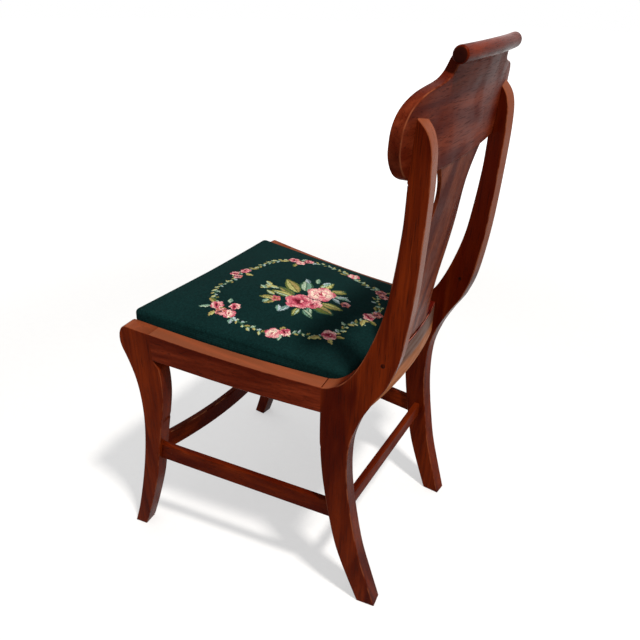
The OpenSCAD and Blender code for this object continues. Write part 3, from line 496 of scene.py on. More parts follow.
class Bench:
    """Blender's modelling calls, kept to one piece at a time."""

    @staticmethod
    def clear() -> None:
        """Leave nothing selected, in object mode."""
        if bpy.context.object and bpy.context.object.mode != "OBJECT":
            bpy.ops.object.mode_set(mode="OBJECT")
        bpy.ops.object.select_all(action="DESELECT")

    @classmethod
    def hold(cls, piece: bpy.types.Object) -> None:
        """Select one piece alone and make it the active one.

        Args:
            piece: The piece.
        """
        cls.clear()
        piece.select_set(True)
        bpy.context.view_layer.objects.active = piece

    @classmethod
    @contextmanager
    def editing(cls, piece: bpy.types.Object) -> Iterator[bpy.types.Object]:
        """Edit one piece's mesh with everything in it selected, then come back.

        Args:
            piece: The piece.

        Yields:
            The piece in edit mode.
        """
        cls.hold(piece)
        bpy.ops.object.mode_set(mode="EDIT")
        bpy.ops.mesh.select_mode(type="VERT")
        bpy.ops.mesh.select_all(action="SELECT")
        yield piece
        bpy.ops.object.mode_set(mode="OBJECT")

    @staticmethod
    def pick(piece: bpy.types.Object, kind: str, test: Callable[[object], bool]) -> int:
        """Select the vertices, edges or faces that pass a test, and nothing else.

        Args:
            piece: The piece in edit mode.
            kind: VERT, EDGE or FACE.
            test: Says whether an element is picked.

        Returns:
            How many passed.
        """
        bpy.ops.mesh.select_mode(type=kind)
        bpy.ops.mesh.select_all(action="DESELECT")
        mesh = bmesh.from_edit_mesh(piece.data)
        elements = {"VERT": mesh.verts, "EDGE": mesh.edges, "FACE": mesh.faces}[kind]
        chosen = [e for e in elements if test(e)]
        for element in chosen:
            element.select = True
        mesh.select_flush_mode()
        bmesh.update_edit_mesh(piece.data)
        return len(chosen)

    @staticmethod
    def move(piece: bpy.types.Object, rule: Callable[[Vector], Point]) -> None:
        """Give each vertex of a piece in edit mode a new place by a rule.

        Args:
            piece: The piece in edit mode.
            rule: Gives the new place from the old one.
        """
        mesh = bmesh.from_edit_mesh(piece.data)
        for vert in mesh.verts:
            vert.co = rule(vert.co)
        bmesh.update_edit_mesh(piece.data)

    @classmethod
    def modify(cls, piece: bpy.types.Object, kind: str, **settings: object) -> None:
        """Add a modifier with its settings and apply it.

        Args:
            piece: The piece.
            kind: The modifier's type.
            settings: The modifier's own settings.
        """
        cls.hold(piece)
        bpy.ops.object.modifier_add(type=kind)
        modifier = piece.modifiers[-1]
        for key, value in settings.items():
            setattr(modifier, key, value)
        bpy.ops.object.modifier_apply(modifier=modifier.name)

    @classmethod
    def smooth(cls, piece: bpy.types.Object, angle: float = 38.0, weighted: bool = True) -> None:
        """Shade a piece smooth, apart from its sharp edges, with its large faces kept flat.

        Args:
            piece: The piece.
            angle: Edges sharper than this, in degrees, stay sharp.
            weighted: Whether large faces are kept flat.
        """
        cls.hold(piece)
        bpy.ops.object.shade_smooth_by_angle(angle=math.radians(angle))
        if weighted:
            cls.modify(piece, "WEIGHTED_NORMAL", keep_sharp=True)

    @staticmethod
    def ease(piece: bpy.types.Object, radius: float) -> None:
        """Round the picked edges of a piece in edit mode, and mark the new arrises for wear.

        Args:
            piece: The piece in edit mode.
            radius: How far the rounding reaches from each edge.
        """
        bpy.ops.mesh.bevel(offset=radius, segments=3, profile=0.5, clamp_overlap=False)
        mesh = bmesh.from_edit_mesh(piece.data)
        mark = mesh.verts.layers.float.get("arris") or mesh.verts.layers.float.new("arris")
        low, high = WORN_TURN
        for edge in mesh.edges:
            if low < edge.calc_face_angle(0.0) < high:
                for vert in edge.verts:
                    vert[mark] = 1.0
        for face in mesh.faces:
            if len(face.verts) > STRIP_CORNERS:
                for vert in face.verts:
                    vert[mark] = 0.0
        bmesh.update_edit_mesh(piece.data)

    @classmethod
    def copy_node(cls, node: str, name: str) -> bpy.types.Object:
        """A merged copy of a CAD node's mesh, as a new piece.

        Args:
            node: The node's name.
            name: The new piece's name.

        Returns:
            The piece, at the origin, with no material.
        """
        cls.clear()
        piece = bpy.data.objects.new(name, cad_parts[node].data.copy())
        piece.data.name = name
        bpy.context.scene.collection.objects.link(piece)
        piece.data.materials.clear()
        with cls.editing(piece):
            bpy.ops.mesh.remove_doubles(threshold=MERGED)
        return piece

    @classmethod
    def settle(cls, piece: bpy.types.Object, name: str) -> bpy.types.Object:
        """Name a piece, and put its place into its mesh.

        Args:
            piece: The piece.
            name: Its name.

        Returns:
            The piece.
        """
        piece.name = piece.data.name = name
        cls.hold(piece)
        bpy.ops.object.transform_apply(location=True, rotation=True, scale=True)
        return piece

    @classmethod
    def from_arrays(cls, name: str, points: np.ndarray, faces: np.ndarray) -> bpy.types.Object:
        """A new piece from points and quads.

        Args:
            name: The piece's name.
            points: One row for each point.
            faces: One row of four points' numbers for each quad.

        Returns:
            The piece.
        """
        cls.clear()
        mesh = bpy.data.meshes.new(name)
        mesh.from_pydata(points.tolist(), [], faces.tolist())
        piece = bpy.data.objects.new(name, mesh)
        bpy.context.scene.collection.objects.link(piece)
        return piece


def hand_in(piece: bpy.types.Object, material: bpy.types.Material, slot: Slot, body: Body,
            node: str) -> None:
    """Dress a finished piece, hang it on the body that it moves with, and hide the CAD node that it
    stands for.

    Args:
        piece: The piece, in place.
        material: Its finish.
        slot: The record's material slot; not used.
        body: The body that it moves with.
        node: The CAD node that it stands for.
    """
    piece.data.materials.clear()
    piece.data.materials.append(material)
    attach(piece, body.value)
    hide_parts(node)
    log.info("%s: %d faces", piece.name, len(piece.data.polygons))


def dress(node: str, material: bpy.types.Material) -> None:
    """Give a CAD node that stays its finish.

    Args:
        node: The node's name.
        material: Its finish.
    """
    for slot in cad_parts[node].material_slots:
        slot.material = material
    log.info("%s: dressed", node)


def curve_through(points: Sequence[Point], steps: int) -> list[tuple[float, float]]:
    """A smooth curve through points, with a number of steps for each span.

    Args:
        points: The points, in order.
        steps: How many steps each span has.

    Returns:
        The curve's points, the given ones included.
    """
    p = [np.array(q, float) for q in points]
    out = []
    for i in range(len(p) - 1):
        a, b, c, d = p[max(i - 1, 0)], p[i], p[i + 1], p[min(i + 2, len(p) - 1)]
        for k in range(steps):
            t = k / steps
            q = 2 * b + (c - a) * t + (2 * a - 5 * b + 4 * c - d) * t**2
            out.append(tuple((q + (3 * b - a - 3 * c + d) * t**3) / 2))
    out.append(tuple(p[-1]))
    return out


@dataclass
class SideFrame:
    """Front leg, side rail and rear post, sawn from plank and joined in one sweep."""

    side: Side
    plank_t: float = 0.0275
    half_width: float = 0.19400
    taper: float = 0.10237
    joints: tuple[float, float] = (-0.15935, 0.12465)
    crest_foot: float = 0.70958
    crest_axis: float = -1.16585
    crest_bow: float = 1.400
    arris: float = 0.0018
    plug_r: float = 0.0031
    plug_proud: float = 0.0002
    plug_ring: float = 0.3
    corner_angle: float = 32.0
    fair_share: float = 0.06
    face_reach: float = 2e-4
    joint_reach: float = 6e-4
    crest_play: tuple[float, float] = (0.0025, 0.0005)

    def __post_init__(self) -> None:
        """Work out the directions of the side frame's plane."""
        angle = math.atan(self.taper)
        self.outward = Vector((self.side.value * math.cos(angle), math.sin(angle), 0))
        self.along = Vector((-self.side.value * math.sin(angle), math.cos(angle), 0))
        self.origin = Vector((self.side.value * self.half_width, 0, 0))

    def depth_of(self, point: Vector) -> float:
        """A point's depth on the plank's own lines, in the chair's Y."""
        return (point - self.origin).dot(self.along) * math.cos(math.atan(self.taper))

    def face_of(self, piece: bpy.types.Object) -> None:
        """Reduce a copied node in edit mode to the outline of its outer face, with no holes.

        Args:
            piece: The copy in edit mode.
        """
        def outer(face: bmesh.types.BMFace) -> bool:
            """Whether a face lies flat on the plank's outer side."""
            off = (face.calc_center_median() - self.origin).dot(self.outward)
            return face.normal.dot(self.outward) > STRAIGHT and abs(off) < self.face_reach

        Bench.pick(piece, "FACE", outer)
        bpy.ops.mesh.select_all(action="INVERT")
        bpy.ops.mesh.delete(type="FACE")
        Bench.pick(piece, "EDGE", lambda e: not e.is_boundary)
        bpy.ops.mesh.delete(type="EDGE")
        keep = {index for index, _ in self.outline_of(piece)}
        Bench.pick(piece, "VERT", lambda v: v.index not in keep)
        bpy.ops.mesh.delete(type="VERT")

    @staticmethod
    def outline_of(piece: bpy.types.Object) -> list[tuple[int, Vector]]:
        """The longest closed loop of a wire mesh in edit mode, in order, as indices and places.

        Args:
            piece: The wire in edit mode.

        Returns:
            Each vertex's number and place.
        """
        mesh = bmesh.from_edit_mesh(piece.data)
        mesh.verts.index_update()
        mesh.verts.ensure_lookup_table()
        near = [[e.other_vert(v).index for e in v.link_edges] for v in mesh.verts]
        spots = [v.co.copy() for v in mesh.verts]
        free, longest = [True] * len(near), []
        for first in range(len(near)):
            loop, here = [], first
            while here is not None and free[here]:
                free[here] = False
                loop.append((here, spots[here]))
                here = next((k for k in near[here] if free[k]), None)
            longest = max(longest, loop, key=len)
        return longest

    def fair(self, piece: bpy.types.Object) -> None:
        """Halve each step of an outline in edit mode, with the new points on its curve.

        Args:
            piece: The outline in edit mode.
        """
        loop = [spot for _, spot in self.outline_of(piece)]
        n = len(loop)
        steps = [(loop[(i + 1) % n] - loop[i]).normalized() for i in range(n)]
        corner = [steps[i - 1].angle(steps[i]) > math.radians(self.corner_angle) for i in range(n)]
        tree, targets = KDTree(n), []
        for i in range(n):
            a, b, c, d = loop[i - 1], loop[i], loop[(i + 1) % n], loop[(i + 2) % n]
            if corner[i] and corner[(i + 1) % n]:
                target = (b + c) / 2
            elif corner[i]:
                target = (3 * b + 6 * c - d) / 8
            elif corner[(i + 1) % n]:
                target = (3 * c + 6 * b - a) / 8
            else:
                target = (9 * (b + c) - a - d) / 16
            middle = (b + c) / 2
            limit = self.fair_share * (c - b).length
            if (target - middle).length > limit:
                target = middle + (target - middle).normalized() * limit
            tree.insert(middle, i)
            targets.append(target)
        tree.balance()
        bpy.ops.mesh.select_all(action="SELECT")
        bpy.ops.mesh.subdivide(number_cuts=1)

        def placed(co: Vector) -> Vector:
            """The new place of a point, if it is one of the new ones."""
            _, index, distance = tree.find(co)
            return targets[index] if distance < HAIR else co

        Bench.move(piece, placed)

    def plank(self, node: str, loose: Callable[[Vector], bool]) -> bpy.types.Object:
        """One member: its outline faired, sawn through the plank, with eased arrises.

        Args:
            node: The CAD node that gives the outline.
            loose: Says whether an arris at a point lies in a joint and stays sharp.

        Returns:
            The member.
        """
        piece = Bench.copy_node(node, node + "_worked")
        with Bench.editing(piece):
            self.face_of(piece)
            bpy.ops.mesh.select_mode(type="VERT")
            self.fair(piece)
            bpy.ops.mesh.select_all(action="SELECT")
            bpy.ops.mesh.edge_face_add()
            back = tuple(-self.outward * self.plank_t)
            bpy.ops.mesh.extrude_region_move(TRANSFORM_OT_translate={"value": back})
            bpy.ops.mesh.select_all(action="SELECT")
            bpy.ops.mesh.normals_make_consistent(inside=False)
            Bench.pick(piece, "EDGE", lambda e: self.is_arris(e)
                       and not loose((e.verts[0].co + e.verts[1].co) / 2))
            Bench.ease(piece, self.arris)
        Bench.smooth(piece)
        return piece

    def is_arris(self, edge: bmesh.types.BMEdge) -> bool:
        """Whether an edge lies between the plank's face and its sawn edge."""
        flats = [abs(f.normal.dot(self.outward)) > ALIKE for f in edge.link_faces]
        return len(flats) == 2 and flats[0] != flats[1]

    def in_joint(self, point: Vector) -> bool:
        """Whether a point lies in one of the side rail's two joints."""
        return any(abs(self.depth_of(point) - y) < self.joint_reach for y in self.joints)

    def under_crest(self, point: Vector) -> bool:
        """Whether a point lies in a joint, or where the crest covers the stile.

        Args:
            point: The point.

        Returns:
            True where an arris stays sharp.
        """
        behind, below = self.crest_play
        ahead = self.crest_axis + math.sqrt(self.crest_bow**2 - point.x**2) + behind
        return self.in_joint(point) or (point.z > self.crest_foot - below and point.y < ahead)

    def plug(self) -> bpy.types.Object:
        """The plug through the stile: a short dowel with eased ends.

        Returns:
            The plug.
        """
        low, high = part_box(f"post_peg_{self.side.word}")
        centre = (low + high) / 2
        length = self.plank_t + 2 * self.plug_proud
        Bench.clear()
        turn = self.outward.to_track_quat("Z", "Y").to_euler()
        bpy.ops.mesh.primitive_cylinder_add(vertices=24, radius=self.plug_r, depth=length,
                                            location=centre, rotation=turn)
        piece = Bench.settle(bpy.context.object, f"stile_plug_{self.side.word}")
        with Bench.editing(piece):
            Bench.pick(piece, "FACE", lambda f: abs(f.normal.dot(self.outward)) > ALIKE)
            bpy.ops.mesh.inset(thickness=self.plug_r * self.plug_ring, depth=-self.plug_proud)
        Bench.smooth(piece)
        return piece

    def build(self, finishes: "Finishes") -> None:
        """Build and dress the side frame's three members and its plug.

        Args:
            finishes: The chair's finishes.
        """
        word = self.side.word
        members = (
            ("front_leg", self.in_joint, finishes.leg),
            ("rear_post", self.under_crest, finishes.post),
            ("side_rail", self.in_joint, finishes.rail),
        )
        for name, loose, finish in members:
            node = f"{name}_{word}"
            hand_in(self.plank(node, loose), finish, Slot.MAHOGANY, Body.CHAIR, node)
        hand_in(self.plug(), finishes.dark, Slot.DARK_WOOD, Body.CHAIR, f"post_peg_{word}")


@dataclass
class Rails:
    """Cross rails, shoe and stretchers: sawn bars with eased or worn arrises."""

    eased: float = 0.0012
    worn: float = 0.0020
    flat_angle: float = 0.4
    arris_angle: float = 50.0
    level_play: float = 0.03

    def bar(self, node: str, radius: float,
            lies: Callable[[Vector, Vector], bool]) -> bpy.types.Object:
        """A copy of a bar with some of its arrises rounded.

        Args:
            node: The CAD node.
            radius: The radius of the arrises.
            lies: Says whether an arris is rounded, from its middle and its run.

        Returns:
            The bar.
        """
        piece = Bench.copy_node(node, node + "_worked")
        with Bench.editing(piece):
            bpy.ops.mesh.dissolve_limited(angle_limit=math.radians(self.flat_angle))
            Bench.pick(piece, "EDGE", lambda e: len(e.link_faces) == 2
                       and e.calc_face_angle(0.0) > math.radians(self.arris_angle)
                       and lies((e.verts[0].co + e.verts[1].co) / 2, e.verts[1].co - e.verts[0].co))
            Bench.ease(piece, radius)
        Bench.smooth(piece)
        return piece

    def lengthwise(self, node: str) -> Callable[[Vector, Vector], bool]:
        """A test for the arrises that run along a cross bar at its foot or its top.

        Args:
            node: The CAD node.

        Returns:
            The test, for an arris's middle and run.
        """
        low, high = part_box(node)

        def test(middle: Vector, run: Vector) -> bool:
            """Whether an arris runs along the bar at its foot or top.

            Args:
                middle: The arris's middle.
                run: Its run from one end to the other.

            Returns:
                True where it is rounded.
            """
            share = (middle.z - low.z) / (high.z - low.z)
            level = min(abs(share), abs(share - 1)) < self.level_play
            return level and abs(run.x) > MOSTLY * run.length

        return test

    def build(self, finishes: "Finishes") -> None:
        """Build and dress every bar.

        Args:
            finishes: The chair's finishes.
        """
        plan = (
            ("rear_rail", self.eased, finishes.rear_rail, Slot.PALE_WOOD),
            ("splat_shoe", self.eased * 0.7, finishes.shoe, Slot.DARK_WOOD),
            ("front_stretcher", self.worn, finishes.stretcher, Slot.MAHOGANY),
            ("rear_stretcher", self.worn, finishes.stretcher, Slot.MAHOGANY),
        )
        for node, radius, finish, slot in plan:
            hand_in(self.bar(node, radius, self.lengthwise(node)), finish, slot, Body.CHAIR, node)
        for side in Side:
            node = f"side_stretcher_{side.word}"
            bar = self.bar(node, self.worn, lambda middle, run: abs(run.y) > MOSTLY * run.length)
            hand_in(bar, finishes.side_stretcher, Slot.MAHOGANY, Body.CHAIR, node)
        dress("front_rail", finishes.stretcher)


@dataclass
class BowedBoard:
    """A thin board, sawn to an outline, eased all round, and bowed round an upright axis."""

    name: str
    rows: list[tuple[float, float]]
    thickness: float
    arris: float
    front_arris: float
    cell: float = 0.006

    def build(self, place: Callable[[float, float, float], Point]) -> bpy.types.Object:
        """Saw the flat board, ease its arrises, cut it into cells and bow it.

        Args:
            place: Gives a point's place from its distance along the width, its height and
                its share of the thickness, 0 at the back and 1 at the front.

        Returns:
            The board.
        """
        outline = [(x, z) for z, x in self.rows] + [(-x, z) for z, x in reversed(self.rows)]
        Bench.clear()
        bpy.ops.mesh.primitive_circle_add(vertices=len(outline), radius=1, fill_type="NGON")
        piece = Bench.settle(bpy.context.object, self.name)
        with Bench.editing(piece):
            mesh = bmesh.from_edit_mesh(piece.data)
            for vert, (x, z) in zip(mesh.verts, outline):
                vert.co = (x, 0, z)
            bmesh.update_edit_mesh(piece.data)
            ahead = (0, -self.thickness, 0)
            bpy.ops.mesh.extrude_region_move(TRANSFORM_OT_translate={"value": ahead})
            bpy.ops.mesh.select_all(action="SELECT")
            bpy.ops.mesh.normals_make_consistent(inside=False)
            for depth, radius in ((0.0, self.arris), (-self.thickness, self.front_arris)):
                Bench.pick(piece, "EDGE",
                           lambda e: all(abs(v.co.y - depth) < HAIR for v in e.verts))
                Bench.ease(piece, radius)
            self.cut_up()
            Bench.move(piece, lambda co: place(co.x, co.z, -co.y / self.thickness))
        Bench.smooth(piece)
        return piece

    def cut_up(self) -> None:
        """Cut the board in edit mode into upright and level strips, so that it can bow."""
        widest = max(x for _, x in self.rows)
        low, high = self.rows[0][0], self.rows[-1][0]
        for axis, start, end in ((0, -widest, widest), (2, low, high)):
            for at in np.arange(start, end, self.cell)[1:]:
                point, across = [0.0, 0.0, 0.0], [0.0, 0.0, 0.0]
                point[axis], across[axis] = float(at), 1.0
                bpy.ops.mesh.select_all(action="SELECT")
                bpy.ops.mesh.bisect(plane_co=point, plane_no=across)


@dataclass
class Crest:
    """Crest rail: a shaped board, bowed from ear to ear, with a roll along its scrolled top."""

    width: float = 0.394
    height: float = 0.132
    thickness: float = 0.015
    bow: float = 1.400
    sweep: float = 0.017
    back_y: float = 0.23415
    foot_z: float = 0.70958
    roll_d: float = 0.019
    roll_l: float = 0.222
    roll_setback: float = 0.0135
    roll_round: float = 0.0032
    rim_angle: float = 60.0
    roll_rings: tuple[tuple[float, float], ...] = ((0.30, 0.0003), (0.22, -0.0006))
    lip_reach: float = 0.76
    top_z: float = 0.845
    arris: float = 0.0016
    front_arris: float = 0.0020
    outline: tuple[tuple[float, float], ...] = (
        (0.76, 0), (0.843, 0.035), (0.916, 0.095), (0.967, 0.18), (0.995, 0.275), (1, 0.37),
        (0.995, 0.46), (0.975, 0.54), (0.940, 0.61), (0.888, 0.665), (0.815, 0.71), (0.73, 0.737),
        (0.64, 0.758), (0.575, 0.785), (0.535, 0.825), (0.517, 0.875), (0.514, 0.93),
        (0.514, 0.998),
    )
    back_line: tuple[tuple[float, float], ...] = (
        (-0.20, 0), (-0.07, 0.16), (0, 0.306), (0.12, 0.533), (0.36, 0.72), (0.60, 0.874),
        (0.82, 0.95),
    )
    front_line: tuple[tuple[float, float], ...] = (
        (-0.20, 0), (-0.07, 0.16), (0, 0.306), (0.12, 0.533), (0.36, 0.72), (0.62, 0.84),
        (0.85, 0.92),
    )

    def board(self) -> bpy.types.Object:
        """The crest board, sloped and bowed.

        Returns:
            The board.
        """
        rows = [(z * self.height, x * self.width / 2) for x, z in curve_through(self.outline, 4)]
        back = [(z * self.height, x * self.sweep) for x, z in curve_through(self.back_line, 4)]
        back.append((self.height, back[-1][1]))
        front = [(x * self.sweep - self.thickness, z * self.height) for x, z in self.front_line]
        front.append((self.roll_setback - self.lip_reach * self.roll_d / 2, self.height))
        front = [(z, x) for x, z in curve_through(front, 4)]
        lines = [tuple(zip(*back)), tuple(zip(*front))]
        axis = self.back_y - self.bow

        def place(x: float, z: float, share: float) -> Point:
            """A point's place, between the back's line and the front's.

            Args:
                x: Its distance along the width.
                z: Its height above the board's foot.
                share: Its share of the thickness, from the back.

            Returns:
                Its place.
            """
            behind, ahead = (float(np.interp(z, *line)) for line in lines)
            reach = self.bow + behind + (ahead - behind) * share
            return x, axis + math.sqrt(reach**2 - x**2), self.foot_z + z

        board = BowedBoard("crest_board", rows, self.thickness, self.arris, self.front_arris)
        return board.build(place)

    def roll(self) -> bpy.types.Object:
        """The turned roll, bowed with the board, with softly rounded ends.

        Returns:
            The roll.
        """
        radius = self.roll_d / 2
        Bench.clear()
        bpy.ops.mesh.primitive_cylinder_add(vertices=48, radius=radius, depth=self.roll_l,
                                            rotation=(0, math.pi / 2, 0))
        piece = Bench.settle(bpy.context.object, "crest_roll_turned")
        reach = self.bow + self.roll_setback
        axis = self.back_y - self.bow
        with Bench.editing(piece):
            Bench.pick(piece, "EDGE",
                       lambda e: e.calc_face_angle(0.0) > math.radians(self.rim_angle))
            bpy.ops.mesh.bevel(offset=self.roll_round, segments=5, profile=0.5)
            Bench.pick(piece, "FACE", lambda f: abs(f.normal.x) > STRAIGHT)
            for share, depth in self.roll_rings:
                bpy.ops.mesh.inset(thickness=radius * share, depth=depth)
            Bench.pick(piece, "EDGE",
                       lambda e: abs(e.verts[0].co.x - e.verts[1].co.x) > self.roll_l / 2)
            bpy.ops.mesh.subdivide(number_cuts=24)

            def bowed(co: Vector) -> Point:
                """A point of the straight roll, carried round the crest's bow.

                Args:
                    co: The point.

                Returns:
                    Its new place.
                """
                turn = co.x / reach
                out = reach + co.y
                return out * math.sin(turn), axis + out * math.cos(turn), self.top_z - radius + co.z

            Bench.move(piece, bowed)
        Bench.smooth(piece)
        return piece

    def build(self, finishes: "Finishes") -> None:
        """Build and dress the board and the roll."""
        hand_in(self.board(), finishes.crest, Slot.MAHOGANY, Body.CHAIR, "crest_rail")
        hand_in(self.roll(), finishes.roll, Slot.MAHOGANY, Body.CHAIR, "crest_roll")


@dataclass
class Splat:
    """Vase splat: a thin bowed board that leans from the shoe into the crest rail."""

    top_width: float = 0.160
    thickness: float = 0.008
    bow: float = 1.100
    foot: tuple[float, float] = (0.18080, 0.42050)
    head: tuple[float, float] = (0.22975, 0.70958)
    root: float = 0.004
    thinned: float = 0.45
    housed: float = 0.006
    arris: float = 0.0009
    front_arris: float = 0.0024
    outline: tuple[tuple[float, float], ...] = (
        (1.08, 0), (0.985, 0.07), (0.900, 0.151), (0.850, 0.253), (0.840, 0.33), (0.858, 0.40),
        (0.884, 0.476), (0.885, 0.56), (0.848, 0.64), (0.780, 0.715), (0.715, 0.785),
        (0.70, 0.849), (0.76, 0.904), (0.863, 0.952), (1, 1),
    )

    def build(self, finishes: "Finishes") -> None:
        """Build and dress the splat.

        Args:
            finishes: The chair's finishes.
        """
        run, rise = self.head[0] - self.foot[0], self.head[1] - self.foot[1]
        length, lean = math.hypot(run, rise), math.atan2(run, rise)
        rows = [(z * length, x * self.top_width / 2) for x, z in curve_through(self.outline, 4)]
        rows = [(-self.root, rows[0][1]), *rows, (length + self.housed, rows[-1][1])]

        def place(x: float, z: float, share: float) -> Point:
            """A point's place, on the bow and then leant back.

            Args:
                x: Its distance along the width.
                z: Its height along the board.
                share: Its share of the thickness, from the back.

            Returns:
                Its place.
            """
            waist = math.sin(math.pi * min(max(z / length, 0.0), 1.0)) ** 0.5
            radius = self.bow - share * self.thickness * (1 - self.thinned * waist)
            y = math.sqrt(radius**2 - x**2) - self.bow
            return (x, self.foot[0] + y * math.cos(lean) + z * math.sin(lean),
                    self.foot[1] - y * math.sin(lean) + z * math.cos(lean))

        board = BowedBoard("splat_board", rows, self.thickness, self.arris, self.front_arris)
        hand_in(board.build(place), finishes.splat, Slot.MAHOGANY, Body.CHAIR, "splat")


@dataclass(frozen=True)
class Motif:
    """One stitched motif: a rose, bud or leaf at a place on the seat, in millimetres."""

    x: float
    y: float
    size: float
    wools: tuple[Tone, ...]
    turn: float = 0.0
    width: float = 0.0


CRIMSON, DEEP_PINK, PINK = Tone(104, 24, 40), Tone(170, 58, 80), Tone(206, 104, 120)
PALE_PINK, CREAM = Tone(228, 166, 166), Tone(240, 216, 198)
CORAL, MAUVE, DUSK = Tone(196, 112, 92), Tone(132, 78, 98), Tone(88, 56, 66)
OCHRE, STRAW, OLIVE = Tone(168, 150, 92), Tone(190, 186, 118), Tone(104, 114, 58)
SEA, PALE_SEA, MOSS = Tone(118, 156, 136), Tone(174, 194, 168), Tone(54, 88, 66)
FROST, SLATE = Tone(176, 192, 196), Tone(108, 132, 134)
ROSE = (CRIMSON, DEEP_PINK, PINK, PALE_PINK, CREAM)
BLUSH = (DEEP_PINK, PINK, PALE_PINK, CREAM, CREAM)
BUD = (CRIMSON, CORAL, PINK, STRAW, PALE_PINK)
DIM = (DUSK, MAUVE, CORAL, PALE_PINK, PALE_PINK)
GOLD_LEAF, OLIVE_LEAF = (OLIVE, OCHRE, STRAW), (MOSS, OLIVE, OCHRE)
SEA_LEAF, FROST_LEAF = (MOSS, SEA, PALE_SEA), (SLATE, SEA, FROST)
PALE_LEAF, SLATE_LEAF = (OLIVE, STRAW, PALE_SEA), (MOSS, SLATE, FROST)


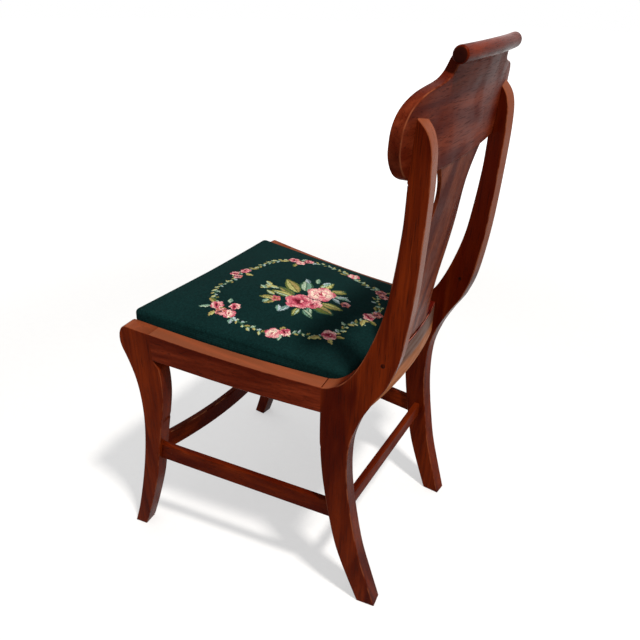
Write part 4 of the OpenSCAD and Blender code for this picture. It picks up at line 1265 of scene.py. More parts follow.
@dataclass
class Needlework:
    """The embroidery: a bouquet in the middle and a garland round it, on a teal ground."""

    ground: Tone = Tone(13, 41, 40)
    seed: int = 11
    roses: tuple[Motif, ...] = (
        Motif(18, 50, 15, ROSE, 0.4), Motif(24, 27, 23, ROSE, 0.9),
        Motif(-20, 44, 24, BLUSH, 2.1), Motif(38, -10, 9, BUD, 0.2), Motif(-14, 93, 8, DIM, 1.0),
        Motif(-7, -122, 8, ROSE, 0.3), Motif(3, -109, 8, DIM, 1.2),
        Motif(-25, -112, 9, ROSE, 2.2), Motif(106, -76, 11, ROSE, 0.6),
        Motif(118, -59, 10, DIM, 1.9), Motif(117, -45, 11, BLUSH, 0.1),
        Motif(95, -49, 9, ROSE, 2.8), Motif(124, 41, 12, BLUSH, 1.1),
        Motif(113, 56, 9, ROSE, 0.5), Motif(80, 114, 12, ROSE, 1.4),
        Motif(-9, 139, 10, ROSE, 0.8), Motif(-25, 147, 9, DIM, 2.0),
        Motif(-97, 120, 10, DIM, 0.9), Motif(-86, 130, 8, DIM, 2.4),
        Motif(-127, 52, 11, BLUSH, 1.6), Motif(-119, -68, 10, ROSE, 0.2),
        Motif(-113, -51, 9, BLUSH, 1.3), Motif(-131, -43, 9, ROSE, 2.6),
    )
    leaves: tuple[Motif, ...] = (
        Motif(-2, 10, 52, GOLD_LEAF, -2.22, 22), Motif(10, 10, 40, OLIVE_LEAF, -1.85, 16),
        Motif(16, 10, 40, PALE_LEAF, -1.55, 15), Motif(-14, 18, 42, SEA_LEAF, -2.66, 22),
        Motif(-36, 34, 34, PALE_LEAF, 2.90, 17), Motif(-32, 52, 32, OLIVE_LEAF, 2.45, 16),
        Motif(-40, 58, 22, GOLD_LEAF, 2.05, 10), Motif(22, 52, 42, OLIVE_LEAF, 1.40, 22),
        Motif(8, 60, 38, GOLD_LEAF, 1.62, 16), Motif(34, 50, 26, SEA_LEAF, 0.62, 11),
        Motif(44, 38, 26, PALE_LEAF, 0.12, 10), Motif(46, 22, 26, FROST_LEAF, -0.25, 10),
        Motif(44, 46, 30, SEA_LEAF, 1.05, 11), Motif(54, 6, 18, FROST_LEAF, 0.55, 8),
        Motif(36, -14, 24, GOLD_LEAF, -1.1, 12), Motif(44, -6, 22, OLIVE_LEAF, -0.6, 9),
        Motif(28, -18, 20, PALE_LEAF, -1.9, 9), Motif(46, -18, 14, SEA_LEAF, -0.2, 7),
        Motif(-26, 62, 24, SEA_LEAF, 1.75, 9), Motif(-32, 72, 22, FROST_LEAF, 1.45, 8),
        Motif(-24, 74, 18, FROST_LEAF, 2.5, 8), Motif(-20, 66, 20, SLATE_LEAF, 1.1, 8),
        Motif(-50, 20, 22, SEA_LEAF, -2.75, 9), Motif(-52, 30, 18, FROST_LEAF, 2.8, 8),
        Motif(-44, 8, 18, SLATE_LEAF, -2.3, 8), Motif(4, -24, 26, PALE_LEAF, -1.5, 8),
        Motif(6, -38, 20, GOLD_LEAF, -0.75, 7), Motif(2, -40, 18, PALE_LEAF, -2.1, 7),
        Motif(16, -40, 16, SEA_LEAF, -1.9, 6), Motif(-16, 84, 14, OLIVE_LEAF, 1.7, 6),
        Motif(-14, -104, 16, GOLD_LEAF, 1.5, 7), Motif(-36, -106, 14, OLIVE_LEAF, 2.4, 6),
        Motif(100, -84, 18, OLIVE_LEAF, -2.0, 8), Motif(112, -84, 18, SEA_LEAF, -0.9, 7),
        Motif(122, -70, 16, GOLD_LEAF, 0.1, 7), Motif(90, -62, 14, SEA_LEAF, -2.6, 7),
        Motif(121, -38, 16, FROST_LEAF, 1.1, 8), Motif(128, -34, 12, FROST_LEAF, 0.4, 6),
        Motif(120, 50, 16, SEA_LEAF, 0.5, 7), Motif(112, 46, 12, OLIVE_LEAF, 2.8, 6),
        Motif(92, 104, 16, GOLD_LEAF, -0.7, 8), Motif(78, 122, 16, OLIVE_LEAF, 1.9, 7),
        Motif(88, 118, 14, GOLD_LEAF, 0.8, 7), Motif(6, 136, 18, GOLD_LEAF, 0.3, 8),
        Motif(0, 146, 14, OLIVE_LEAF, 1.2, 7), Motif(-34, 140, 14, OLIVE_LEAF, -2.6, 6),
        Motif(-104, 112, 14, SEA_LEAF, -2.3, 6), Motif(-104, 128, 14, OLIVE_LEAF, 2.5, 6),
        Motif(-118, 58, 14, SEA_LEAF, 0.9, 6), Motif(-124, 40, 14, OLIVE_LEAF, -1.4, 6),
        Motif(-108, -74, 16, GOLD_LEAF, -0.9, 7), Motif(-104, -56, 16, OLIVE_LEAF, 0.3, 7),
        Motif(-126, -56, 14, SEA_LEAF, 2.9, 6),
    )
    garland: tuple[tuple[float, float], ...] = (
        (0, -115), (27, -106), (41, -112), (64, -109), (84, -97), (106, -74), (117, -52),
        (124, -33), (128, -17), (133, -2), (128, 9), (131, 25), (122, 45), (109, 68), (101, 78),
        (99, 96), (82, 114), (60, 122), (35, 123), (16, 136), (-12, 140), (-32, 146), (-50, 142),
        (-62, 126), (-79, 122), (-97, 118), (-106, 93), (-111, 76), (-127, 52), (-132, 27),
        (-137, 6), (-138, -16), (-133, -34), (-118, -62), (-105, -84), (-88, -94), (-66, -101),
        (-48, -103), (-26, -112), (0, -115),
    )
    sprig_gap: float = 5.6

    def work(self, x: np.ndarray, y: np.ndarray) -> np.ndarray:
        """Choose a wool for each stitch.

        Args:
            x: Each stitch's distance to the sitter's left of the middle.
            y: Its distance behind the middle.

        Returns:
            One linear colour for each stitch.
        """
        random = np.random.default_rng(self.seed)
        cloth = np.tile(np.array(self.ground.linear()[:3]), (len(x), 1))
        self._sprigs(cloth, x, y, random)
        for leaf in self.leaves:
            self._leaf(cloth, x, y, leaf)
        for rose in self.roses:
            self._rose(cloth, x, y, rose)
        bundle = np.sin(x * 0.021 + np.sin(y * 0.033) * 2.0) * np.sin(y * 0.027 + 1.3)
        cloth *= (1 + 0.07 * bundle)[:, None]
        return cloth * random.normal(1.0, 0.15, (len(x), 1)).clip(0.6, 1.45)

    @staticmethod
    def _rose(cloth: np.ndarray, x: np.ndarray, y: np.ndarray, rose: Motif) -> None:
        """Stitch a rose: five outer petals, three inner ones and a dark heart.

        Args:
            cloth: Every stitch's colour, changed in place.
            x: Every stitch's x, in millimetres.
            y: Its y.
            rose: The rose.
        """
        wools = np.array([t.linear()[:3] for t in rose.wools])
        dx, dy = (x - rose.x) / rose.size, (y - rose.y) / rose.size
        near = dx * dx + dy * dy < 1.4
        rings = ((5, 0.56, 0.50, 0), (5, 0.44, 0.42, 1), (3, 0.26, 0.30, 0))
        for count, reach, radius, lift in rings:
            for k in range(count):
                angle = rose.turn + 2 * math.pi * k / count + (0.6 if reach < 0.5 else 0)
                cx, cy = reach * math.cos(angle), reach * math.sin(angle)
                away = np.hypot(dx - cx, dy - cy) / radius
                rim = ((dx - cx) * math.cos(angle) + (dy - cy) * math.sin(angle)) / radius
                tint = 2.5 - 1.4 * rim if rose.wools is BLUSH else 1.2 + 1.9 * rim
                fleck = 1.1 * np.sin(7.1 * x + 3.3 * y) * (14 / (rose.size + 8))
                shade = np.clip(np.round(tint + lift * 0.5 + fleck), 0, 4).astype(int)
                petal = near & (away < 1)
                cloth[petal] = wools[shade[petal]]
                seam = near & (away >= 0.86) & (away < 1) & (rim < 0.2)
                cloth[seam] = wools[0 if lift == 0 else 1]
        heart = np.hypot(dx, dy)
        cloth[heart < 0.20] = wools[0]
        curl = (heart < 0.30) & (heart > 0.12) & (np.arctan2(dy, dx) > 1.2)
        cloth[curl] = wools[3]

    @staticmethod
    def _leaf(cloth: np.ndarray, x: np.ndarray, y: np.ndarray, leaf: Motif) -> None:
        """Stitch a leaf from its foot to its tip, lighter on one side of its vein.

        Args:
            cloth: Every stitch's colour, changed in place.
            x: Every stitch's x, in millimetres.
            y: Its y.
            leaf: The leaf.
        """
        wools = np.array([t.linear()[:3] for t in leaf.wools])
        c, s = math.cos(leaf.turn), math.sin(leaf.turn)
        along = ((x - leaf.x) * c + (y - leaf.y) * s) / leaf.size
        across = (-(x - leaf.x) * s + (y - leaf.y) * c) / (leaf.width / 2)
        reach = np.clip(np.sin(np.pi * np.clip(along, 0, 1) ** 0.8), 0, 1)
        blade = (along > 0) & (along < 1) & (np.abs(across) < reach + 0.12)
        shade = np.where(across > 0, 2, 1)
        shade = np.where((np.abs(across) > reach * 0.78) & (leaf.width > 8), 0, shade)
        vein = np.abs(across) * leaf.width / 2 < 0.9
        shade = np.where(vein & (leaf.width > 9), 0, shade)
        cloth[blade] = wools[shade[blade]]

    def _sprigs(self, cloth: np.ndarray, x: np.ndarray, y: np.ndarray,
                random: np.random.Generator) -> None:
        """Stitch the garland's stem, with a small leaf on each side in turn.

        Args:
            cloth: Every stitch's colour, changed in place.
            x: Every stitch's x, in millimetres.
            y: Its y.
            random: Where the leaves' small differences come from.
        """
        line = np.array(curve_through(self.garland, 8))
        gap = np.hypot(x[:, None] - line[None, :, 0], y[:, None] - line[None, :, 1]).min(1)
        cloth[gap < 1.7] = MOSS.linear()[:3]
        steps = np.hypot(*np.diff(line, axis=0).T)
        reach = np.concatenate([[0], np.cumsum(steps)])
        kinds = (PALE_LEAF, SEA_LEAF, GOLD_LEAF, FROST_LEAF, PALE_LEAF, OLIVE_LEAF)
        for k, at in enumerate(np.arange(0, reach[-1], self.sprig_gap)):
            px, py = (float(np.interp(at, reach, line[:, axis])) for axis in (0, 1))
            qx, qy = (float(np.interp(at + 2, reach, line[:, axis])) for axis in (0, 1))
            turn = math.atan2(qy - py, qx - px) + (0.9 if k % 2 else -0.9) + random.normal(0, 0.25)
            px, py = px + random.normal(0, 0.8), py + random.normal(0, 0.8)
            size = random.uniform(7, 11)
            self._leaf(cloth, x, y, Motif(px, py, size, kinds[k % len(kinds)], turn, size * 0.46))


@dataclass
class DropInSeat:
    """The loose seat: needlepoint over stuffing, hessian and webbing, on a wooden frame."""

    origin: tuple[float, float, float] = (0.0, -0.15935, 0.433)
    rake: float = math.radians(-3.2245)
    front: float = -0.0521
    back: float = 0.3063
    half_at_origin: float = 0.180673
    half_fall: float = 0.10221
    corner_r: float = 0.010
    least_r: float = 0.0025
    roll_r: float = 0.007
    rim_top: float = 0.0123
    crown: float = 0.0142
    side_draw: float = 0.0040
    end_draw: float = 0.0016
    frame_top: float = -0.002
    underside: float = -0.0213
    cover_t: float = 0.0012
    slack: float = 0.0008
    lifted: tuple[float, float] = (0.0045, 0.0012)
    web_width: float = 0.050
    web_end: float = 0.014
    web_t: float = 0.0010
    web_level: float = -0.0008
    web_wave: float = 0.0006
    web_cells: tuple[int, int] = (8, 60)
    web_ys: tuple[float, ...] = (0.24, 0.5, 0.76)
    web_xs: tuple[float, ...] = (-0.6, 0.0, 0.6)
    cloth_cells: tuple[int, int] = (48, 48)
    shrunk: tuple[float, float, float] = (0.988, 0.988, 0.90)
    voxel: float = 0.006
    pressure: float = 4.0
    frames: int = 20
    facing_down: float = -0.6
    swell: float = 0.006
    columns: int = 188
    rows: int = 184
    wall_levels: tuple[float, ...] = (
        0.0032, 0.0010, -0.0012, -0.004, -0.009, -0.014, -0.0185, -0.0205,
    )
    hem_insets: tuple[float, ...] = (0.0009, 0.003, 0.008, 0.016, 0.028, 0.039)

    def half(self, y: np.ndarray) -> np.ndarray:
        """Half the seat's width at a depth."""
        return self.half_at_origin - self.half_fall * y

    @property
    def middle(self) -> float:
        """The depth of the seat's middle."""
        return (self.front + self.back) / 2

    def world(self, points: np.ndarray) -> np.ndarray:
        """Points on the seat's own axes, put into the chair.

        Args:
            points: One row for each point.

        Returns:
            The points in the chair's frame.
        """
        c, s = math.cos(self.rake), math.sin(self.rake)
        x, y, z = points.T
        return np.stack([x, y * c - z * s, y * s + z * c], 1) + np.array(self.origin)

    def lay(self, sx: np.ndarray, sy: np.ndarray, ex: np.ndarray, ey: np.ndarray,
            inset: float = 0.0, drawn: float | np.ndarray = 1.0) -> tuple[np.ndarray, np.ndarray]:
        """Places on the seat's plan from their distances to its edges.

        Args:
            sx: Which side each place is on, -1 or 1.
            sy: Which end it is at, -1 for the front.
            ex: Its distance in from that side.
            ey: Its distance in from that end.
            inset: The least distance in.
            drawn: How fully the edges draw in between the corners.

        Returns:
            The places' x and y.
        """
        radius = max(self.corner_r - inset, self.least_r)
        ax, ay = np.maximum(ex - inset, 0), np.maximum(ey - inset, 0)
        dx, dy = radius - ax, radius - ay
        corner = (dx > 0) & (dy > 0)
        pull = np.where(corner, np.maximum(dx, dy) / np.maximum(np.hypot(dx, dy), 1e-9), 1.0)
        ax, ay = np.where(corner, radius - dx * pull, ax), np.where(corner, radius - dy * pull, ay)
        length = (self.back - self.front) / 2
        y = self.middle + sy * (length - inset - ay)
        x = sx * np.maximum(self.half(y) - inset - ax, 0)
        v, u = (y - self.middle) / length, x / self.half(y)
        x = x - drawn * self.side_draw * u * np.cos(np.clip(v, -1, 1) * math.pi / 2)
        y = y - drawn * self.end_draw * v * np.cos(np.clip(u, -1, 1) * math.pi / 2)
        return x, y

    def lift(self, x: np.ndarray, y: np.ndarray) -> np.ndarray:
        """How unevenly the old stuffing holds the edge up, round the seat.

        Args:
            x: Places across the seat.
            y: Places along it.

        Returns:
            The extra height at each place.
        """
        u, v = x / self.half(y), (y - self.middle) / ((self.back - self.front) / 2)
        ahead = np.clip((1 - v) / 2, 0, 1)
        left, right = self.lifted
        return left * np.clip(u, 0, 1) * ahead**2 + right * np.clip(-u, 0, 1) ** 3 * ahead

    def top(self, x: np.ndarray, y: np.ndarray, e: np.ndarray) -> np.ndarray:
        """Height of the cover's top at a place and a distance from the rim.

        Args:
            x: Places across the seat.
            y: Places along it.
            e: Their distances in from the rim.

        Returns:
            The height at each place.
        """
        u = np.clip(np.abs(x) / self.half(y), 0, 1)
        v = np.clip(np.abs(y - self.middle) / ((self.back - self.front) / 2), 0, 1)
        crown = self.crown * (1 - u**2.5) * (1 - v**2.5)
        short = np.clip(self.roll_r - e, 0, self.roll_r)
        drop = self.roll_r - np.sqrt(self.roll_r**2 - short**2)
        slack = 0.0005 * np.sin(31 * x + 17 * y) * np.sin(23 * y - 11 * x + 0.8)
        return self.rim_top + crown - drop + self.lift(x, y) + slack * (1 - u**4) * (1 - v**4)

    def grid(self) -> tuple[np.ndarray, ...]:
        """Signs and distances to the edges for a grid of stitches over the top, the roll included.

        Returns:
            Each stitch's side, its end, and its distances in from both.
        """
        arc = math.pi / 2 * self.roll_r
        spare = arc - self.roll_r

        def in_from(a: np.ndarray) -> np.ndarray:
            """Distances in from the rim on the plan, from those over the roll."""
            rolled = self.roll_r * (1 - np.cos(np.clip(a / self.roll_r, 0, math.pi / 2)))
            return np.where(a < arc, rolled, a - spare)

        u = np.linspace(-1, 1, self.columns + 1)[None, :]
        v = np.linspace(-1, 1, self.rows + 1)[:, None]
        length = (self.back - self.front) / 2
        ey = in_from((1 - np.abs(v)) * (length + spare))
        half = self.half(self.middle + np.sign(v) * (length - ey))
        ex = in_from((1 - np.abs(u)) * (half + spare))
        shape = (self.rows + 1, self.columns + 1)
        return tuple(np.broadcast_to(a, shape) for a in (np.sign(u), np.sign(v), ex, ey))

    def cover(self) -> bpy.types.Object:
        """The needlepoint: one quad for each stitch over the top, then down the sides and under.

        Returns:
            The cover.
        """
        sx, sy, ex, ey = self.grid()
        x, y = self.lay(sx, sy, ex, ey)
        z = self.top(x, y, np.minimum(ex, ey))
        points = [np.stack([x.ravel(), y.ravel(), z.ravel()], 1)]
        n, m = self.columns + 1, self.rows + 1
        index = np.arange(n * m).reshape(m, n)
        corners = (index[:-1, :-1], index[:-1, 1:], index[1:, 1:], index[1:, :-1])
        quads = [np.stack(corners, 2).reshape(-1, 4)]
        i, j = np.meshgrid(np.arange(self.columns), np.arange(self.rows))
        cells = [np.stack([i.ravel(), j.ravel()], 1)]
        loop = np.concatenate([index[0, :-1], index[:-1, -1], index[-1, :0:-1], index[:0:-1, 0]])
        rim = [a.ravel()[loop] for a in (sx, sy, ex, ey)]
        start_z = z.ravel()[loop]
        above, count, total = loop, len(loop), n * m
        levels = [(0.0, level) for level in self.wall_levels]
        levels += [(inset, self.underside) for inset in self.hem_insets]
        wall_top = self.rim_top - self.roll_r
        for k, (inset, level) in enumerate(levels):
            share = np.clip((level - self.frame_top) / (wall_top - self.frame_top), 0, 1)
            ex, ey = (np.maximum(rim[axis], inset) for axis in (2, 3))
            rx, ry = self.lay(rim[0], rim[1], ex, ey, inset, share)
            rz = level + share * (start_z - wall_top)
            points.append(np.stack([rx, ry, rz], 1))
            below = total + np.arange(count)
            quads.append(np.stack([below, np.roll(below, -1), np.roll(above, -1), above], 1))
            cells.append(np.stack([np.arange(count), np.full(count, -k - 1)], 1))
            above, total = below, total + count
        points, quads, cells = np.concatenate(points), np.concatenate(quads), np.concatenate(cells)
        piece = Bench.from_arrays("needlepoint_cover", self.world(points), quads)
        self.stitch_up(piece, points[quads].mean(1), cells)
        Bench.modify(piece, "SOLIDIFY", thickness=self.cover_t, offset=-1.0)
        Bench.smooth(piece, 60.0, weighted=False)
        return piece

    def stitch_up(self, piece: bpy.types.Object, centres: np.ndarray, cells: np.ndarray) -> None:
        """Colour each stitch, and number its cell for the yarn's relief.

        Args:
            piece: The cover before it has a thickness.
            centres: Each stitch's middle, on the seat's own axes.
            cells: Each stitch's column and row.
        """
        wool = Needlework().work(centres[:, 0] * 1000, (centres[:, 1] - self.middle) * 1000)
        colours = np.ones((len(cells), 4, 4))
        colours[:, :, :3] = wool[:, None, :]
        layer = piece.data.color_attributes.new("wool", "FLOAT_COLOR", "CORNER")
        layer.data.foreach_set("color", colours.ravel())
        corners = np.array([(0, 0), (1, 0), (1, 1), (0, 1)])
        sheet = piece.data.uv_layers.new(name="stitches")
        sheet.data.foreach_set("uv", (cells[:, None, :] + corners[None]).astype(float).ravel())

    def sheet(self, name: str, cells: tuple[int, int], thickness: float,
              laid: Callable[[float, float], Point]) -> bpy.types.Object:
        """A thin sheet, laid out from a square grid.

        Args:
            name: The piece's name.
            cells: How many cells it has across and along.
            thickness: Its thickness.
            laid: Gives a place on the seat's own axes from one on the grid, -1 to 1 each way.

        Returns:
            The sheet.
        """
        Bench.clear()
        bpy.ops.mesh.primitive_grid_add(x_subdivisions=cells[0], y_subdivisions=cells[1], size=2)
        piece = Bench.settle(bpy.context.object, name)
        with Bench.editing(piece):
            Bench.move(piece, lambda co: tuple(self.world(np.array([laid(co.x, co.y)]))[0]))
        Bench.modify(piece, "SOLIDIFY", thickness=thickness, offset=0.0)
        return piece

    def strip(self, name: str, low: Point, high: Point, cells: tuple[int, int],
              height: Callable[[float, float], float]) -> bpy.types.Object:
        """A strip of webbing.

        Args:
            name: The piece's name.
            low: One corner of its plan.
            high: The corner opposite.
            cells: How many cells it has across and along.
            height: Gives its height at a place on its plan.

        Returns:
            The strip.
        """
        def laid(u: float, v: float) -> Point:
            """A place on the strip, from its place on the grid."""
            x, y = (a + (t + 1) / 2 * (b - a) for a, b, t in zip(low, high, (u, v)))
            return x, y, height(x, y)

        return self.sheet(name, cells, self.web_t, laid)

    def webbing(self, way: Way) -> bpy.types.Object:
        """Three strips of the interlaced webbing.

        Args:
            way: The way that they run.

        Returns:
            The strips, as one piece.
        """
        side = self.web_width / 2
        sign = 1 if way is Way.ALONG else -1
        ys = [self.front + s * (self.back - self.front) for s in self.web_ys]
        xs = [s * float(self.half(np.array(self.back))) for s in self.web_xs]

        def height(x: float, y: float) -> float:
            """The strips' height, over and under the others in turn.

            Args:
                x: A place across the seat.
                y: Its place along it.

            Returns:
                The height there.
            """
            across = math.cos((x - xs[1]) / (xs[2] - xs[1]) * math.pi)
            along = math.cos((y - ys[1]) / (ys[2] - ys[1]) * math.pi)
            return self.web_level + sign * self.web_wave * across * along

        strips = []
        for k, (x, y) in enumerate(zip(xs, ys)):
            if way is Way.ALONG:
                low = (x - side, self.front + self.web_end)
                high = (x + side, self.back - self.web_end)
                cells = self.web_cells
            else:
                reach = float(self.half(np.array(y + side))) - self.web_end
                low, high, cells = (-reach, y - side), (reach, y + side), self.web_cells[::-1]
            strips.append(self.strip(f"web_{way.value}_{k}", low, high, cells, height))
        Bench.hold(strips[0])
        for strip in strips:
            strip.select_set(True)
        bpy.ops.object.join()
        return Bench.settle(bpy.context.object, f"webbing_{way.value}")

    def flat_cloth(self, name: str, inset: float, z: float, thickness: float,
                   sag: float) -> bpy.types.Object:
        """A trapezoid of cloth, hemmed to the frame and slack in the middle.

        Args:
            name: The piece's name.
            inset: How far in from the seat's edges it ends.
            z: Its height there.
            thickness: Its thickness.
            sag: How far its middle hangs down.

        Returns:
            The cloth.
        """
        length = (self.back - self.front) / 2

        def laid(u: float, v: float) -> Point:
            """A place on the cloth.

            Args:
                u: How far across it lies, from -1 to 1.
                v: How far back, from -1 to 1.

            Returns:
                The place on the seat's own axes.
            """
            y = self.middle + v * (length - inset)
            x = u * (float(self.half(np.array(y))) - inset)
            hang = (1 - u**2) * (1 - v**2)
            pucker = 0.12 * math.sin(u * 19) * math.sin(v * 13 + 1)
            return x, y, z - sag * hang * (1 + pucker)

        piece = self.sheet(name, self.cloth_cells, thickness, laid)
        Bench.smooth(piece, 60.0, weighted=False)
        return piece

    def stuffing(self) -> bpy.types.Object:
        """The stuffing: the pad's form remeshed and blown up against its cover as cloth.

        Returns:
            The stuffing.
        """
        piece = Bench.copy_node("seat_pad", "seat_stuffing")
        low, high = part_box("seat_pad")
        centre = (low + high) / 2
        foot = (centre.x, centre.y, low.z)
        with Bench.editing(piece):
            bpy.ops.transform.resize(value=self.shrunk, center_override=foot)
        Bench.hold(piece)
        piece.data.remesh_voxel_size = self.voxel
        bpy.ops.object.voxel_remesh()
        self.blow_up(piece)
        self.press_under(piece)
        Bench.smooth(piece, 60.0, weighted=False)
        return piece

    def press_under(self, piece: bpy.types.Object) -> None:
        """Press the stuffing down wherever it would stand through its cover.

        Args:
            piece: The stuffing.
        """
        points = np.empty(len(piece.data.vertices) * 3)
        piece.data.vertices.foreach_get("co", points)
        c, s = math.cos(self.rake), math.sin(self.rake)
        x, y, z = (points.reshape(-1, 3) - np.array(self.origin)).T
        y, z = y * c + z * s, z * c - y * s
        ahead = (self.back - self.front) / 2 - np.abs(y - self.middle)
        aside = self.half(y) - np.abs(x)
        rim = np.maximum(np.minimum(aside - self.side_draw, ahead - self.end_draw), 0)
        z = np.minimum(z, self.top(x, y, rim) - self.cover_t - self.slack)
        piece.data.vertices.foreach_set("co", self.world(np.stack([x, y, z], 1)).ravel())
        piece.data.update()

    def blow_up(self, piece: bpy.types.Object) -> None:
        """Swell a closed mesh under pressure, with its underside held.

        Args:
            piece: The remeshed pad.
        """
        mesh = piece.data
        rest = np.empty(len(mesh.vertices) * 3)
        mesh.vertices.foreach_get("co", rest)
        rest = rest.reshape(-1, 3)
        held = piece.vertex_groups.new(name="held")
        below = [v.index for v in mesh.vertices if v.normal.z < self.facing_down]
        held.add(below, 1.0, "REPLACE")
        Bench.hold(piece)
        bpy.ops.object.modifier_add(type="CLOTH")
        cloth = piece.modifiers[-1]
        cloth.settings.use_pressure = True
        cloth.settings.uniform_pressure_force = self.pressure
        cloth.settings.effector_weights.gravity = 0.0
        cloth.settings.vertex_group_mass = held.name
        cloth.point_cache.frame_start, cloth.point_cache.frame_end = 1, self.frames
        for number in range(1, self.frames + 1):
            bpy.context.scene.frame_set(number)
        bpy.ops.object.modifier_apply(modifier=cloth.name)
        bpy.context.scene.frame_set(1)
        blown = np.empty(len(mesh.vertices) * 3)
        mesh.vertices.foreach_get("co", blown)
        step = blown.reshape(-1, 3) - rest
        reach = np.linalg.norm(step, axis=1, keepdims=True)
        step *= np.minimum(1.0, self.swell / np.maximum(reach, 1e-9))
        mesh.vertices.foreach_set("co", (rest + step).ravel())
        mesh.update()
        Bench.modify(piece, "SUBSURF", levels=1, render_levels=1)

    def build(self, finishes: "Finishes") -> None:
        """Build and dress the seat from its frame up.

        Args:
            finishes: The chair's finishes.
        """
        for word in ("front", "back"):
            dress(f"seat_frame_{word}", finishes.seat_frame_across)
        for side in Side:
            dress(f"seat_frame_{side.word}", finishes.seat_frame_deep)
        dress("seat_tacks", finishes.steel)
        along, across = self.webbing(Way.ALONG), self.webbing(Way.ACROSS)
        hand_in(along, finishes.webbing, Slot.LINEN, Body.SEAT, "seat_webbing_along")
        hand_in(across, finishes.webbing, Slot.LINEN, Body.SEAT, "seat_webbing_across")
        hessian = self.flat_cloth("hessian", 0.015, 0.0008, 0.0007, 0.0)
        hand_in(hessian, finishes.hessian, Slot.LINEN, Body.SEAT, "seat_hessian")
        stuffing = self.stuffing()
        hand_in(stuffing, finishes.stuffing, Slot.LINEN, Body.SEAT, "seat_pad")
        cover = self.cover()
        hand_in(cover, finishes.needlepoint, Slot.NEEDLEPOINT, Body.SEAT, "seat_cover")
        dust = self.flat_cloth("dust_cloth", 0.030, -0.02195, 0.0005, 0.0022)
        hand_in(dust, finishes.dust_cloth, Slot.BLACK_CLOTH, Body.SEAT, "seat_dust_cover")


@dataclass(frozen=True)
class Fixings:
    """Dowels, corner blocks, cleats and screws inside the seat frame."""

    bare: tuple[str, ...] = (
        "side_rail_dowels", "cross_rail_dowels", "crest_dowels",
        "corner_block_front_left", "corner_block_front_right",
        "corner_block_rear_left", "corner_block_rear_right",
    )
    cleats: tuple[str, ...] = ("seat_cleat_left", "seat_cleat_right")
    steel: tuple[str, ...] = ("corner_block_screws", "cleat_screws")

    def build(self, finishes: "Finishes") -> None:
        """Dress the fixings, which the CAD model shows as they are.

        Args:
            finishes: The chair's finishes.
        """
        plan = (
            (self.bare, finishes.blocks),
            (self.cleats, finishes.cleats),
            (self.steel, finishes.steel),
        )
        for nodes, finish in plan:
            for node in nodes:
                dress(node, finish)


class Finishes:
    """Every finish on the chair, each made once."""

    def __init__(self) -> None:
        """Make the materials."""
        # The leg, post and rail finishes carry painted light on their upward faces and upper back
        # faces.
        self.leg = Mahogany("mahogany_leg", Grain.UPRIGHT, wear=0.3, painted_light=0.3).build()
        self.post = Mahogany("mahogany_post", Grain.UPRIGHT, painted_light=0.42,
                             shift=(0.3, 0.1, 0.0)).build()
        self.rail = Mahogany("mahogany_rail", Grain.DEEP, warm=Tone(122, 46, 22), wear=0.14,
                             painted_light=0.45, shift=(0.0, 0.2, 0.0)).build()
        self.crest = Mahogany("mahogany_crest", Grain.ACROSS, warm=Tone(112, 46, 24), wear=0.4,
                              gloss=0.38).build()
        self.roll = Mahogany("mahogany_roll", Grain.ACROSS, wear=0.3, gloss=0.22,
                             end_grain=0.85, shift=(0.4, 0.0, 0.2)).build()
        self.splat = Mahogany("mahogany_splat", Grain.UPRIGHT, warm=Tone(124, 60, 34),
                              wear=0.4, gloss=0.32, shift=(0.6, 0.0, 0.0)).build()
        self.stretcher = Mahogany("mahogany_stretcher", Grain.ACROSS, wear=1.0, gloss=0.36).build()
        self.side_stretcher = Mahogany("mahogany_side_stretcher", Grain.DEEP, wear=1.0,
                                       gloss=0.36).build()
        self.dark = Mahogany("dark_wood", Grain.ACROSS, deep=Tone(34, 12, 9), warm=Tone(60, 20, 12),
                             rubbed_and_lit=Tone(120, 70, 60), wear=0.5).build()
        self.shoe = Mahogany("mahogany_shoe", Grain.ACROSS, deep=Tone(74, 10, 6),
                             warm=Tone(132, 44, 28), rubbed_and_lit=Tone(190, 110, 88), wear=0.9).build()
        # The rear rail's back carries painted sunlight below and painted shadow above.
        self.rear_rail = SunlitRail("rear_rail_back", 0.380, 0.392).build()
        self.blocks = BareWood("corner_block_wood", Grain.ACROSS).build()
        self.cleats = BareWood("cleat_wood", Grain.DEEP, grime=0.5).build()
        pale = Tone(190, 142, 94)
        self.seat_frame_across = BareWood("seat_frame_wood_across", Grain.ACROSS, pale).build()
        self.seat_frame_deep = BareWood("seat_frame_wood_deep", Grain.DEEP, pale).build()
        self.steel = DullSteel().build()
        self.webbing = WovenCloth("jute_webbing", 0.0022, Tone(186, 156, 108),
                                  Tone(120, 92, 58)).build()
        self.hessian = WovenCloth("hessian_weave", 0.0018, Tone(176, 146, 100),
                                  Tone(110, 84, 54)).build()
        self.stuffing = WovenCloth("calico_stuffing", 0.0009, Tone(206, 196, 170),
                                   Tone(168, 156, 128)).build()
        self.dust_cloth = WovenCloth("black_cambric", 0.0008, Tone(26, 25, 26),
                                     Tone(12, 12, 13)).build()
        self.needlepoint = Needlepoint().build()


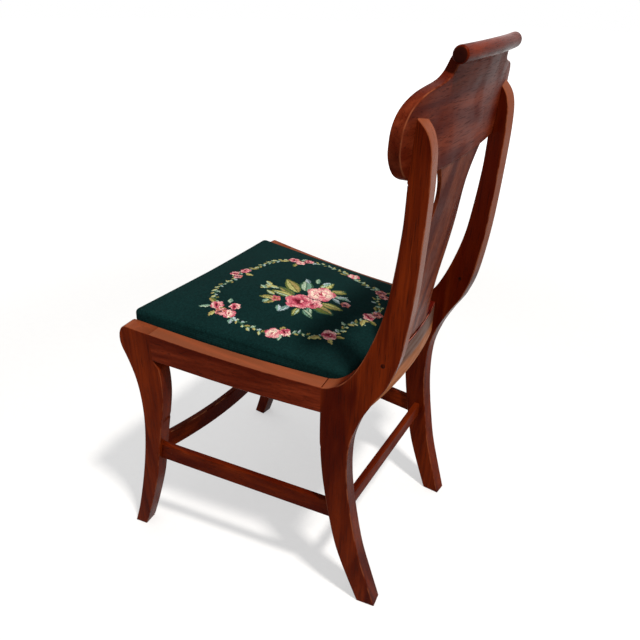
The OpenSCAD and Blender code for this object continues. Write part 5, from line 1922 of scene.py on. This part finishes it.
@dataclass
class Studio:
    """Pale floor, white surround, soft lamps and the photograph's camera."""

    eye: tuple[float, float, float] = (0.81504, 0.46863, 0.90722)
    azimuth: float = 118.257
    elevation: float = 32.261
    roll: float = 1.311
    lens: float = 35.32
    sensor: float = 36.0
    shift: tuple[float, float] = (-0.0050, 0.0725)
    ambient: float = 0.40
    target: tuple[float, float, float] = (0.0, 0.03, 0.45)
    floor_reach: float = 14.0
    shadow_reach: tuple[float, float] = (0.9, 3.2)
    floor_glow: float = 0.46

    def camera(self) -> None:
        """Stand the camera where the photograph was taken from."""
        az, el, q = (math.radians(a) for a in (self.azimuth, self.elevation, self.roll))
        ahead = Vector((-math.sin(az) * math.cos(el), math.cos(az) * math.cos(el), -math.sin(el)))
        right = Vector((math.cos(az), math.sin(az), 0))
        up = right.cross(ahead)
        right, up = right * math.cos(q) + up * math.sin(q), up * math.cos(q) - right * math.sin(q)
        data = bpy.data.cameras.new("photograph")
        data.sensor_width, data.lens = self.sensor, self.lens
        data.shift_x, data.shift_y = self.shift
        data.clip_start = 0.01
        camera = bpy.data.objects.new("photograph", data)
        bpy.context.scene.collection.objects.link(camera)
        stand = Matrix((right, up, -ahead)).transposed().to_4x4()
        stand.translation = self.eye
        camera.matrix_world = stand
        bpy.context.scene.camera = camera

    def lamp(self, name: str, place: Point, power: float, size: float,
             tone: Tone = Tone(255, 255, 255)) -> None:
        """Hang a soft square lamp that faces the seat.

        Args:
            name: The lamp's name.
            place: Where it hangs.
            power: Its power in watts.
            size: Its side.
            tone: Its light's colour.
        """
        data = bpy.data.lights.new(name, "AREA")
        data.energy, data.size = power, size
        data.color = tone.linear()[:3]
        lamp = bpy.data.objects.new(name, data)
        lamp.location = place
        ahead = Vector(self.target) - Vector(place)
        lamp.rotation_euler = ahead.to_track_quat("-Z", "Y").to_euler()
        bpy.context.scene.collection.objects.link(lamp)

    def surround(self) -> None:
        """A white world for the eye and for reflections, and a dimmer one that lights."""
        world = bpy.data.worlds.new("surround")
        bpy.context.scene.world = world
        world.use_nodes = True
        n = Nodes(world.node_tree)
        path = n.put("LightPath").outputs
        gloss = n.sum("MAXIMUM", path["Is Glossy Ray"], path["Is Transmission Ray"])
        seen = n.sum("MAXIMUM", path["Is Camera Ray"], gloss)
        level = n.put("MapRange", {"Value": seen, "To Min": self.ambient}).outputs[0]
        light = n.put("Background", {"Color": (1, 1, 1, 1), "Strength": level})
        n.put("OutputWorld", {0: light.outputs[0]})

    def floor(self) -> None:
        """A wide pale floor that keeps the chair's shadow."""
        Bench.clear()
        bpy.ops.mesh.primitive_circle_add(vertices=96, radius=self.floor_reach, fill_type="NGON")
        floor = Bench.settle(bpy.context.object, "pale_floor")
        r = Recipe("pale_floor")
        path = r.put("LightPath").outputs
        seen = r.sum("MAXIMUM", path["Is Camera Ray"], path["Is Glossy Ray"])
        speck = r.span(r.noise(r.place(), 60.0, 3.0), 0.3, 0.7, 0.54, 0.56)
        tint = r.put("CombineColor", {0: speck, 1: speck, 2: speck}).outputs[0]
        r.finish(Base_Color=tint, Roughness=0.95, Specular_IOR_Level=0.0)
        reach = r.put("VectorMath", {0: r.place()}, operation="LENGTH").outputs["Value"]
        level = r.span(reach, *self.shadow_reach, self.floor_glow, 1.0)
        glow = r.put("Emission", {"Color": (1, 1, 1, 1), "Strength": r.times(seen, level)})
        both = r.put("AddShader", {0: r.shader.outputs[0], 1: glow.outputs[0]})
        r.feed(r.output.inputs[0], both.outputs[0])
        floor.data.materials.append(r.material)

    def build(self) -> None:
        """Set the whole studio up."""
        self.camera()
        self.surround()
        self.floor()
        self.lamp("key", (0.72, 1.30, 3.05), 92.0, 0.26, Tone(255, 250, 244))
        self.lamp("fill", (2.4, -1.0, 1.8), 7.0, 2.0)
        self.lamp("front", (-0.8, -2.4, 1.6), 8.0, 2.0)
        bpy.context.scene.view_settings.view_transform = "Standard"


def main() -> None:
    """Build the chair, then the studio round it."""
    logging.basicConfig(level=logging.INFO, format="%(message)s")
    finishes = Finishes()
    parts = [*map(SideFrame, Side), Rails(), Crest(), Splat(), DropInSeat(), Fixings()]
    for part in parts:
        part.build(finishes)
    Studio().build()
    Bench.clear()


if __name__ == "__main__":
    main()
